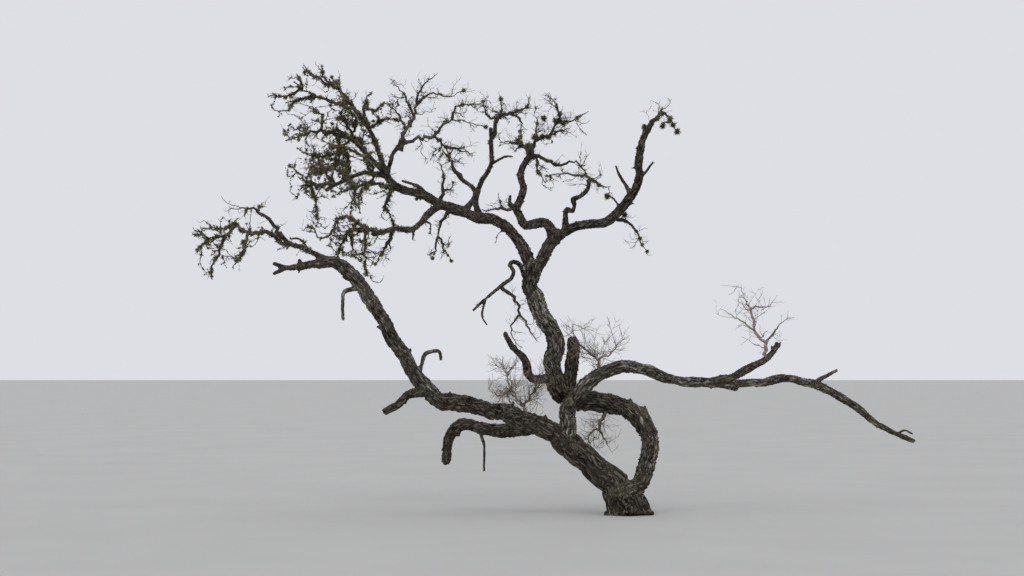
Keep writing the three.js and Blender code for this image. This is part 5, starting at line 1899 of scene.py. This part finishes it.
# Limbs that carry twigs or lichen of their own, by region: their cover, where on their length it
# starts, the longest twig on them, and how full their lichen is
DRESSED = {
    CROWN_LEFT: {
        "crown_bough_top": (THICK, 0.12, 0.14, 1.5), "crown_bough_left": (THICK, 0.08, 0.14, 1.8),
        "crown_bough_low": (THICK, 0.08, 0.14, 1.5), "left_bough": (PATCHY, 0.40, 0.08, 0.8),
    },
    CROWN_MIDDLE: {
        "crown_bough_mid": (PATCHY, 0.15, 0.14, 0.6), "inner_bough": (PATCHY, 0.35, 0.10, 0.5),
        "forked_bough": (PATCHY, 0.20, 0.10, 0.5),
    },
    FAR_LEFT: {
        "low_bough": (THICK, 0.25, 0.12, 0.5), "far_left_bough": (THICK, 0.20, 0.14, 0.6),
    },
    CROWN_RIGHT: {
        "middle_bough": (PATCHY, 0.55, 0.09, 0.4), "small_mid_bough": (PATCHY, 0.30, 0.08, 0.5),
        "right_crown_bough": (PATCHY, 0.60, 0.06, 0.3), "hook_bough": (BARE, 0.20, 0.08, 0.5),
    },
}

# The radius of a limb whose lichen is as full as a twig's
USUAL_RADIUS = 0.016

# The radii between which the lichen on a twig's tip grows from small to full
TIP_RADII = (0.0018, 0.0056)

# The usual radius of fine twigs, of those on limbs and of the finest, and the longest of the finest
FINE, ON_LIMB, FINEST = 0.0024, 0.0026, 0.0015
FINEST_LENGTH = (0.03, 0.09)

# How many points and sides side twigs, fine twigs and the finest have
SIDE_MESH, FINE_MESH, FINEST_MESH = (9, 5), (5, 4), (4, 3)

# How far apart the points of leaders and main twigs lie, and how many sides they have
LEADER_MESH, MAIN_MESH = (0.045, 7), (0.035, 5)

# How full the lichen on leaders is, how many lobes a tuft's core has, and a scattered tuft's radius
LEADER_LICHEN = 1.7
CORE_LOBES = 26
SCATTERED_TUFT = (0.026, 0.044)

# The radius of a tuft's needles from foot to tip
NEEDLE_RADII = (0.0042, 0.0034, 0.0022, 0.0009)

# Where lichen is golden, and how far from there
GOLD_PLACES = (((-3800, 4560, 600), 420), ((-3700, 4500, 200), 300), ((-4700, 3540, -1340), 200))

# Tufts that stand out on the twigs: across and up as seen from the front, and the tuft's radius
TUFTS = {
    CROWN_RIGHT: (
        (-1010, 4965, 66), (-860, 4940, 78), (-800, 4890, 62), (-662, 5025, 50), (-920, 4950, 60),
        (-1260, 4690, 78), (-1160, 4715, 82), (-1080, 4700, 70), (-1000, 4720, 55), (-1350, 4690, 68),
        (425, 5020, 62), (500, 4937, 64), (612, 4787, 62), (462, 4835, 58), (400, 4950, 50),
        (560, 4860, 52), (175, 4880, 55), (160, 4800, 55), (190, 4700, 45), (282, 4600, 50),
        (-250, 3985, 55), (-125, 3850, 60), (-180, 3920, 50), (-380, 4080, 45), (237, 3300, 42),
        (150, 3440, 38), (110, 3530, 38), (-950, 4440, 42),
    ),
    CROWN_MIDDLE: (
        (-1340, 4720, 55), (-1250, 4690, 50), (-1600, 5225, 50), (-1812, 5175, 45), (-1260, 5110, 50),
        (-1350, 4780, 45), (-2060, 5300, 50), (-1780, 4860, 50),
    ),
    CROWN_LEFT: (
        (-3037, 3830, 50), (-2925, 3640, 45), (-2800, 3925, 42), (-2710, 3890, 40), (-2580, 3865, 42),
        (-2500, 3925, 34), (-2650, 4090, 38), (-2860, 4110, 45), (-3980, 5560, 48), (-3830, 5540, 50),
        (-4100, 5475, 40), (-4380, 5260, 46), (-4300, 5200, 46), (-3600, 5050, 44), (-3450, 5010, 44),
        (-3330, 4880, 46), (-3520, 4820, 44), (-3250, 4760, 42), (-3620, 4720, 44), (-3400, 4660, 42),
        (-3260, 5010, 38), (-3200, 4900, 38), (-3700, 4900, 42),
    ),
    FAR_LEFT: (
        (-3275, 3010, 50), (-3650, 3190, 50), (-3450, 3240, 45), (-2437, 3210, 42), (-2212, 3175, 42),
        (-3150, 3140, 42), (-5000, 3590, 46), (-4930, 3620, 50), (-4860, 3580, 46), (-4740, 3500, 44),
        (-4660, 3490, 44), (-4590, 3480, 42), (-4820, 3420, 44), (-4810, 3340, 44), (-4420, 3400, 42),
    ),
}


@dataclass
class Thicket:
    """The twigs and the lichen of one region, carried on from the main twigs to the finest."""

    region: Region
    skeleton: Skeleton
    skin: BarkSkin
    first_seed: int = 4100
    twig_lean: Span = (0.5, 1.25)
    twig_rise: float = 0.08
    lobe_width: Span = (0.3, 0.56)
    lobe_slip: float = 0.004
    lobe_seat: float = 0.72
    gold_share: float = 0.36
    needles_least: float = 40
    needles_per_metre: float = 900
    needle_reach: Span = (0.6, 1.0)
    needle_bend: float = 0.33
    needle_rise: float = 0.07
    core_length: float = 0.62
    core_width: float = 0.5
    most_triangles: int = 130000
    batch_triangles: int = 50000

    def __post_init__(self) -> None:
        """Gathers the region's masses and the box that its solids take, with a little slack."""
        self.dice = np.random.default_rng(self.first_seed + list(Region).index(self.region))
        self.gathered = {"fine_twigs": Gathered(), "lichen": Gathered()}
        self.lines: list[Line] = []
        self.made: list[bpy.types.Object] = []
        self.plans = [plan for plan in MASSES if plan.region is self.region]
        lines = [line for plan in self.plans for line in self.main_lines(plan)]
        self.low, self.high = box_of(lines, SPACE_SLACK)
        self.low[2] = max(self.low[2], LOWEST_TWIG)

    def main_lines(self, plan: MassPlan) -> list[Line]:
        """The leaders and main twigs of a mass."""
        return self.skeleton.leaders[plan.name] + self.skeleton.twigs[plan.name]

    def build(self) -> list[bpy.types.Object]:
        """Grows the region.

        Returns:
            Its pieces.
        """
        for name, (cover, *sizes) in DRESSED.get(self.region, {}).items():
            self.dress_limb(name, LOOKS[cover], *sizes)
        for plan in self.plans:
            self.grow_mass(plan)
        for seen_across, seen_up, radius in TUFTS.get(self.region, ()):
            self.tuft(self.nearest_seen(seen_across, seen_up), radius * MM)
        self.finish(force=True)
        return self.made

    def finish(self, force: bool = False) -> None:
        """Makes pieces of what has been gathered, once it is much or all is grown.

        Args:
            force: Whether all is grown.
        """
        for name, finishes in (("fine_twigs", Wood), ("lichen", Growth)):
            gathered = self.gathered[name]
            if gathered.count == 0 or (gathered.triangles < self.most_triangles and not force):
                continue
            number = 1 + sum(piece.name.startswith(name) for piece in self.made)
            mesh = gathered.mesh(f"{name}_{self.region.value}_{number}")
            nodes = [f"twigs_{plan.name}" for plan in self.plans]
            self.made.append(set_out(mesh, [finish.value for finish in finishes], nodes))
            self.gathered[name] = Gathered()

    def grow_mass(self, plan: MassPlan) -> None:
        """Grows one mass of twigs with its lichen.

        Args:
            plan: The mass.
        """
        look = LOOKS[plan.cover]
        full = FULLNESS.get(plan.name, 1.0)
        drawn = self.skeleton.leaders[plan.name], self.skeleton.twigs[plan.name]
        leaders, mains = ([self.roughened(line, step, look.slim) for line in lines]
                          for lines, (step, _) in zip(drawn, (LEADER_MESH, MAIN_MESH)))
        for lines, (_, sides) in ((leaders, LEADER_MESH), (mains, MAIN_MESH)):
            for line in lines:
                finish = np.array([self.pick(look.woods)])
                self.gathered["fine_twigs"].tubes(line.points[None], line.radii[None], sides, finish)
        low, high = box_of(leaders + mains, MASS_SLACK)
        box = np.maximum(low, self.low), np.minimum(high, self.high)
        spots = self.stations(leaders + mains, look.side_gap / full)
        branches = self.grow(spots, look.side_length, look.side_radius, SIDE_MESH, look, box)
        taper = np.linspace(1.0, 0.45, SIDE_MESH[0]) * look.side_radius
        grown = leaders + mains + [Line(route, taper) for route in branches]
        self.lines += grown
        spots = self.stations(grown, look.twig_gap / min(1.0, full**0.5))
        fine = self.grow(spots, look.twig_length, FINE, FINE_MESH, look, box)
        spots = self.stations_on(fine, look.twiglets, FINE)[0]
        self.grow(spots, FINEST_LENGTH, FINEST, FINEST_MESH, look, box)
        self.sleeve(leaders, look, LEADER_LICHEN)
        self.sleeve(grown[len(leaders):], look, 1.0)
        self.sleeve_fine(fine, look, FINE)
        if look.tuft_gap > 0:
            for origin in self.stations(leaders, look.tuft_gap).at:
                self.tuft(origin, float(self.dice.uniform(*SCATTERED_TUFT)))

    def grow(self, spots: Spots, length: Span, radius: float, shape: tuple[int, int], look: CoverLook,
             box: tuple[Array, Array]) -> Array:
        """Grows fine twigs, as far as they stay in a box.

        Args:
            spots: Where they may start.
            length: The shortest and the longest.
            radius: Their radius at the foot.
            shape: How many points and sides each has.
            look: What they look like.
            box: The box's lowest and highest corner.

        Returns:
            Their routes.
        """
        routes = self.sprout(spots, length, shape[0], look.bend)
        routes = routes[self.within(routes, *box)]
        self.add_fine(routes, radius, shape[1], look)
        return routes

    def dress_limb(self, name: str, look: CoverLook, start: float, longest: float, full: float) -> None:
        """Grows short twigs and lichen on a limb.

        Args:
            name: The limb.
            look: What they look like.
            start: Where on the limb they start, as a share of its length.
            longest: The longest twig.
            full: How full the lichen is, as a share of what twigs carry.
        """
        for strand in self.skin.strands:
            on = strand.run / strand.run[-1] >= start
            if strand.limb != name or on.sum() < 3:
                continue
            line = Line(strand.line.points[on], strand.line.radii[on])
            spots = self.stations([line], look.twig_gap * 1.3)
            fine = self.sprout(spots, (0.35 * longest, longest), FINE_MESH[0], look.bend, on_skin=True)
            self.add_fine(fine, ON_LIMB, FINE_MESH[1], look)
            self.lines += [Line(route, np.full(len(route), ON_LIMB)) for route in fine]
            self.sleeve([line], look, full * float(line.radii.mean()) / USUAL_RADIUS)
            self.sleeve_fine(fine, look, ON_LIMB)

    def roughened(self, line: Line, step: float, slim: float) -> Line:
        """A finer, more crooked and slimmer line of twig wood.

        Args:
            line: The line.
            step: About how far apart its points are to lie.
            slim: How thick it is to be, as a share of the solid's thickness.

        Returns:
            The line.
        """
        fine = line.refined(step)
        fine.radii *= np.interp(fine.radii, (0.008, 0.026), (slim, 1.0))
        fine.radii *= np.interp(np.linspace(0, 1, len(fine.radii)), (0.5, 1.0), (1.0, 0.4))
        sway = self.dice.normal(0, 1, fine.points.shape) * (0.006 + 0.35 * fine.radii[:, None])
        sway[0] = 0
        knots = 1 + self.dice.uniform(-0.14, 0.2, len(fine.radii))
        return Line(fine.points + sway, np.maximum(fine.radii * knots, 0.0016))

    def pick(self, shares: tuple[float, ...]) -> int:
        """A number thrown by shares."""
        return int(self.dice.choice(len(shares), p=np.array(shares) / sum(shares)))

    def stations(self, lines: list[Line], gap: float) -> Spots:
        """Places along lines.

        Args:
            lines: The lines.
            gap: How far apart the places are on average.

        Returns:
            The places.
        """
        found = []
        for line in lines:
            run = line.run()
            at = np.sort(self.dice.uniform(0.02, 1.0, int(run[-1] / gap) + 1)) * run[-1]
            rows = np.column_stack([line.points, line.tangents(), line.radii])
            found.append(np.column_stack([np.interp(at, run, column) for column in rows.T]))
        rows = np.vstack(found)
        return Spots(rows[:, :3], unit(rows[:, 3:6]), rows[:, 6])

    def stations_on(self, routes: Array, each: int, radius: float) -> tuple[Spots, Array]:
        """Places on many routes with the same number of points.

        Args:
            routes: The routes.
            each: How many places on each.
            radius: How thick they are.

        Returns:
            The places, and how far out on its route each lies, from 0 to 1.
        """
        routes = np.repeat(routes, each, axis=0)
        spans = routes.shape[1] - 1
        at = self.dice.uniform(0.15, 0.98, len(routes)) * spans
        k = np.minimum(at.astype(int), spans - 1)
        rows = np.arange(len(routes))
        start, step = routes[rows, k], routes[rows, k + 1] - routes[rows, k]
        spots = Spots(start + step * (at - k)[:, None], unit(step), np.full(len(rows), radius))
        return spots, at / spans

    def sprout(self, spots: Spots, length: Span, points: int, bend: float, on_skin: bool = False) -> Array:
        """Crooked twigs that turn out from wood.

        Args:
            spots: Where each starts.
            length: The shortest and the longest twig.
            points: How many points each has.
            bend: How strongly they bend.
            on_skin: Whether they start at the wood's skin.

        Returns:
            Their routes.
        """
        count = len(spots.at)
        lean = self.dice.uniform(*self.twig_lean, count)
        heading = turned_out(spots.along, lean, self.dice.uniform(0, 2 * math.pi, count))
        routes = np.empty((count, points, 3))
        routes[:, 0] = spots.at
        if on_skin:
            routes[:, 0] += unit(crosswise(heading, spots.along)) * 0.75 * spots.radii[:, None]
        reach = self.dice.uniform(0, 1, count) ** 1.5 * (length[1] - length[0]) + length[0]
        for k in range(1, points):
            routes[:, k] = routes[:, k - 1] + heading * (reach / (points - 1))[:, None]
            sway = self.dice.normal(0, bend, (count, 3)) + np.array([0, 0, self.twig_rise])
            heading = unit(heading + sway)
        return routes

    def within(self, routes: Array, low: Array, high: Array) -> Array:
        """Which routes stay in a box and out of the limbs.

        Args:
            routes: The routes.
            low: The box's lowest corner.
            high: Its highest corner.

        Returns:
            Whether each does.
        """
        inside = np.all((routes >= low) & (routes <= high), axis=(1, 2))
        tips = routes[:, 2:].reshape(-1, 3)
        clear = np.ones(len(tips), dtype=bool)
        for strand in self.skin.strands:
            line = strand.line
            if np.any(line.points.max(0) < low) or np.any(line.points.min(0) > high):
                continue
            for start, span, radius in zip(line.points[:-1], np.diff(line.points, axis=0), line.radii):
                offset = tips - start
                share = np.clip(offset @ span / (span @ span), 0, 1)
                apart = np.linalg.norm(offset - share[:, None] * span, axis=1)
                clear &= apart > radius * 0.9
        return inside & np.all(clear.reshape(len(routes), -1), axis=1)

    def add_fine(self, routes: Array, radius: float, sides: int, look: CoverLook) -> None:
        """Adds fine twigs as wood.

        Args:
            routes: Their routes.
            radius: Their radius at the foot.
            sides: How many sides each has.
            look: The cover, which says how weathered they are.
        """
        taper = np.linspace(1.0, 0.4, routes.shape[1])
        thick = radius * self.dice.uniform(0.8, 1.35, (len(routes), 1))
        finish = self.dice.choice(len(look.woods), len(routes), p=look.woods)
        for part in self.batches(len(routes), 2 * sides * routes.shape[1]):
            self.gathered["fine_twigs"].tubes(routes[part], thick[part] * taper, sides, finish[part])
            self.finish()

    def batches(self, count: int, triangles: int) -> list[Array]:
        """Numbers from 0 on, parted so that no part makes too many triangles."""
        return np.array_split(np.arange(count), 1 + count * triangles // self.batch_triangles)

    def sleeve(self, lines: list[Line], look: CoverLook, full: float) -> None:
        """Grows lichen along lines of wood, as full as a share of the usual."""
        spots = self.stations(lines, look.cluster_gap / full)
        self.clusters(spots, look, np.interp(spots.radii, TIP_RADII, (0.4, 1.0)))

    def sleeve_fine(self, routes: Array, look: CoverLook, radius: float) -> None:
        """Grows lichen along fine twigs.

        Args:
            routes: Their routes.
            look: What it looks like.
            radius: How thick they are.
        """
        if len(routes) == 0:
            return
        length = np.linalg.norm(np.diff(routes, axis=1), axis=2).sum(axis=1).mean()
        each = max(1, round(length / (look.cluster_gap * 2.2)))
        spots, share = self.stations_on(routes, each, radius)
        self.clusters(spots, look, np.interp(share, (0.3, 1), (0.72, 0.22)))

    def clusters(self, spots: Spots, look: CoverLook, size: Array) -> None:
        """Grows clusters of lobes where the lichen has settled.

        Args:
            spots: Where it may settle.
            look: What the lichen looks like.
            size: How large it is at each place, as a share of the usual.
        """
        drift = noise_of(spots.at * 5.2) + 0.6 * noise_of(spots.at * 17 + 40)
        settled = drift < np.interp(look.sleeve, (0, 0.5, 1), (-0.75, 0.0, 0.75))
        spots = spots[settled]
        colours = self.colours(spots.at, look)
        lump = np.clip(0.72 + 1.5 * noise_of(spots.at * 14 + 7), 0.35, 1.5) * size[settled]
        for part in self.batches(len(lump), 4 * look.lobes):
            self.grow_lobes(spots[part], look, lump[part], colours[part])
            self.finish()

    def grow_lobes(self, spots: Spots, look: CoverLook, lump: Array, colours: Array) -> None:
        """Grows the lobes of some clusters.

        Args:
            spots: The clusters' places.
            look: What the lichen looks like.
            lump: How large each cluster is, as a share of the usual.
            colours: The number of each cluster's colour.
        """
        rows = np.repeat(np.arange(len(lump)), look.lobes)
        count = len(rows)
        if count == 0:
            return
        spots = spots[rows]
        lean = np.clip(self.dice.normal(1.15, 0.35, count), 0.3, 1.9)
        out = turned_out(spots.along, lean, self.dice.uniform(0, 2 * math.pi, count))
        roots = spots.at + unit(crosswise(out, spots.along)) * (self.lobe_seat * spots.radii)[:, None]
        roots += self.dice.normal(0, self.lobe_slip, (count, 1)) * spots.along
        lengths = self.dice.uniform(*look.lobe_length, count) * lump[rows]
        widths = lengths * self.dice.uniform(*self.lobe_width, count)
        self.gathered["lichen"].lobes(roots, out, lengths, widths, colours[rows])

    def colours(self, points: Array, look: CoverLook) -> Array:
        """Deals out the colours of clusters, with gold where gold has its place.

        Args:
            points: Where the clusters are.
            look: What the lichen looks like.

        Returns:
            The number of each one's colour.
        """
        count = len(points)
        dealt = self.dice.choice(4, count, p=look.colours)
        shade = noise_of(points * 3.1 + 11)
        dealt = np.where((shade > 0.18) & (dealt == 0), 1, dealt)
        dealt = np.where((shade < -0.18) & (dealt == 1), 0, dealt)
        for waypoint, reach in GOLD_PLACES:
            near = np.linalg.norm(points - place(waypoint), axis=1) < reach * MM
            dealt = np.where(near & (self.dice.uniform(0, 1, count) < self.gold_share), 2, dealt)
        return dealt

    def nearest_seen(self, seen_across: float, seen_up: float) -> Array:
        """The point of the region's wood that looks nearest to a spot from the front.

        Args:
            seen_across: Where the spot is seen across.
            seen_up: Where it is seen up.

        Returns:
            The point.
        """
        points = np.vstack([line.points for line in self.lines])
        eye = np.array([EYE_ACROSS, EYE_UP])
        seen = eye + (points[:, ::2] - eye) / (1 + points[:, 1:2] / EYE_DISTANCE)
        off = seen - np.array([seen_across, seen_up]) * MM
        return points[np.argmin(np.sum(off * off, axis=1))]

    def tuft(self, centre: Array, radius: float) -> None:
        """Grows a ball of bent needles round a point of a twig.

        Args:
            centre: The point.
            radius: How far out it reaches.
        """
        count = int(self.needles_least + self.needles_per_metre * radius)
        heading = unit(self.dice.normal(0, 1, (count, 3)))
        reach = radius * self.dice.uniform(*self.needle_reach, count)
        points = len(NEEDLE_RADII)
        routes = np.empty((count, points, 3))
        routes[:, 0] = centre
        for k in range(1, points):
            routes[:, k] = routes[:, k - 1] + heading * (reach / (points - 1))[:, None]
            sway = self.dice.normal(0, self.needle_bend, (count, 3))
            heading = unit(heading + sway + np.array([0, 0, self.needle_rise]))
        thick = np.array(NEEDLE_RADII) * (0.6 + radius / 0.12)
        colour = self.pick((0.45, 0.45, 0.0, 0.1))
        finish = np.where(self.dice.uniform(0, 1, count) < 0.75, colour, 1)
        self.gathered["lichen"].tubes(routes, np.tile(thick, (count, 1)), 3, finish)
        core = unit(self.dice.normal(0, 1, (CORE_LOBES, 3)))
        roots = np.tile(centre, (CORE_LOBES, 1))
        shares = (self.core_length, self.core_width)
        lengths, widths = (np.full(CORE_LOBES, radius * share) for share in shares)
        self.gathered["lichen"].lobes(roots, core, lengths, widths, np.zeros(CORE_LOBES, dtype=int))


@dataclass(frozen=True)
class Studio:
    """A plain pale floor, soft light from all round and the camera in front of the tree."""

    floor_size: float = 3000.0
    floor_colour: Colour = (0.52, 0.52, 0.50)
    floor_mottling: float = 0.02
    floor_scale: float = 0.4
    sky: Colour = (0.73, 0.735, 0.78)
    sun_strength: float = 0.55
    sun_angle: float = 0.6
    sun_turn: tuple[float, float] = (32, -14)
    lens: float = 67.5
    sight: float = 4000.0
    pitch: float = 0.04684

    def build(self) -> None:
        """Makes the floor, the lights and the camera."""
        self.floor()
        self.lights()
        self.camera()

    def floor(self) -> None:
        """Lays the floor."""
        mesh = bpy.data.meshes.new("floor")
        plate = bmesh.new()
        bmesh.ops.create_grid(plate, x_segments=1, y_segments=1, size=self.floor_size / 2)
        plate.to_mesh(mesh)
        plate.free()
        finish = PlainFinish("floor", self.floor_colour, self.floor_mottling, self.floor_scale)
        mesh.materials.append(finish.material())
        placed("floor", mesh)

    def lights(self) -> None:
        """Sets the even sky and a wide soft sun high on the left."""
        world = bpy.data.worlds.new("sky")
        world.use_nodes = True
        world.node_tree.nodes["Background"].inputs["Color"].default_value = (*self.sky, 1.0)
        bpy.context.scene.world = world
        light = bpy.data.lights.new("sun", "SUN")
        light.energy = self.sun_strength
        light.angle = self.sun_angle
        placed("sun", light).rotation_euler = (*map(math.radians, self.sun_turn), 0)

    def camera(self) -> None:
        """Sets the camera."""
        data = bpy.data.cameras.new("camera")
        data.lens = self.lens
        data.clip_end = self.sight
        camera = placed("camera", data)
        camera.location = (EYE_ACROSS, -EYE_DISTANCE, EYE_UP)
        camera.rotation_euler = (math.pi / 2 + self.pitch, 0, 0)
        bpy.context.scene.camera = camera
        bpy.context.scene.view_settings.view_transform = "Standard"


def main() -> None:
    """Builds the tree and its studio."""
    logging.basicConfig(level=logging.INFO, format="%(message)s")
    noise.seed_set(NOISE_SEED)
    skeleton = Skeleton()
    skin = BarkSkin(skeleton, BarkFinish())
    pieces = skin.build()
    for region in Region:
        pieces += Thicket(region, skeleton, skin).build()
    Studio().build()
    LOG.info("%d pieces", len(pieces))


if __name__ == "__main__":
    main()
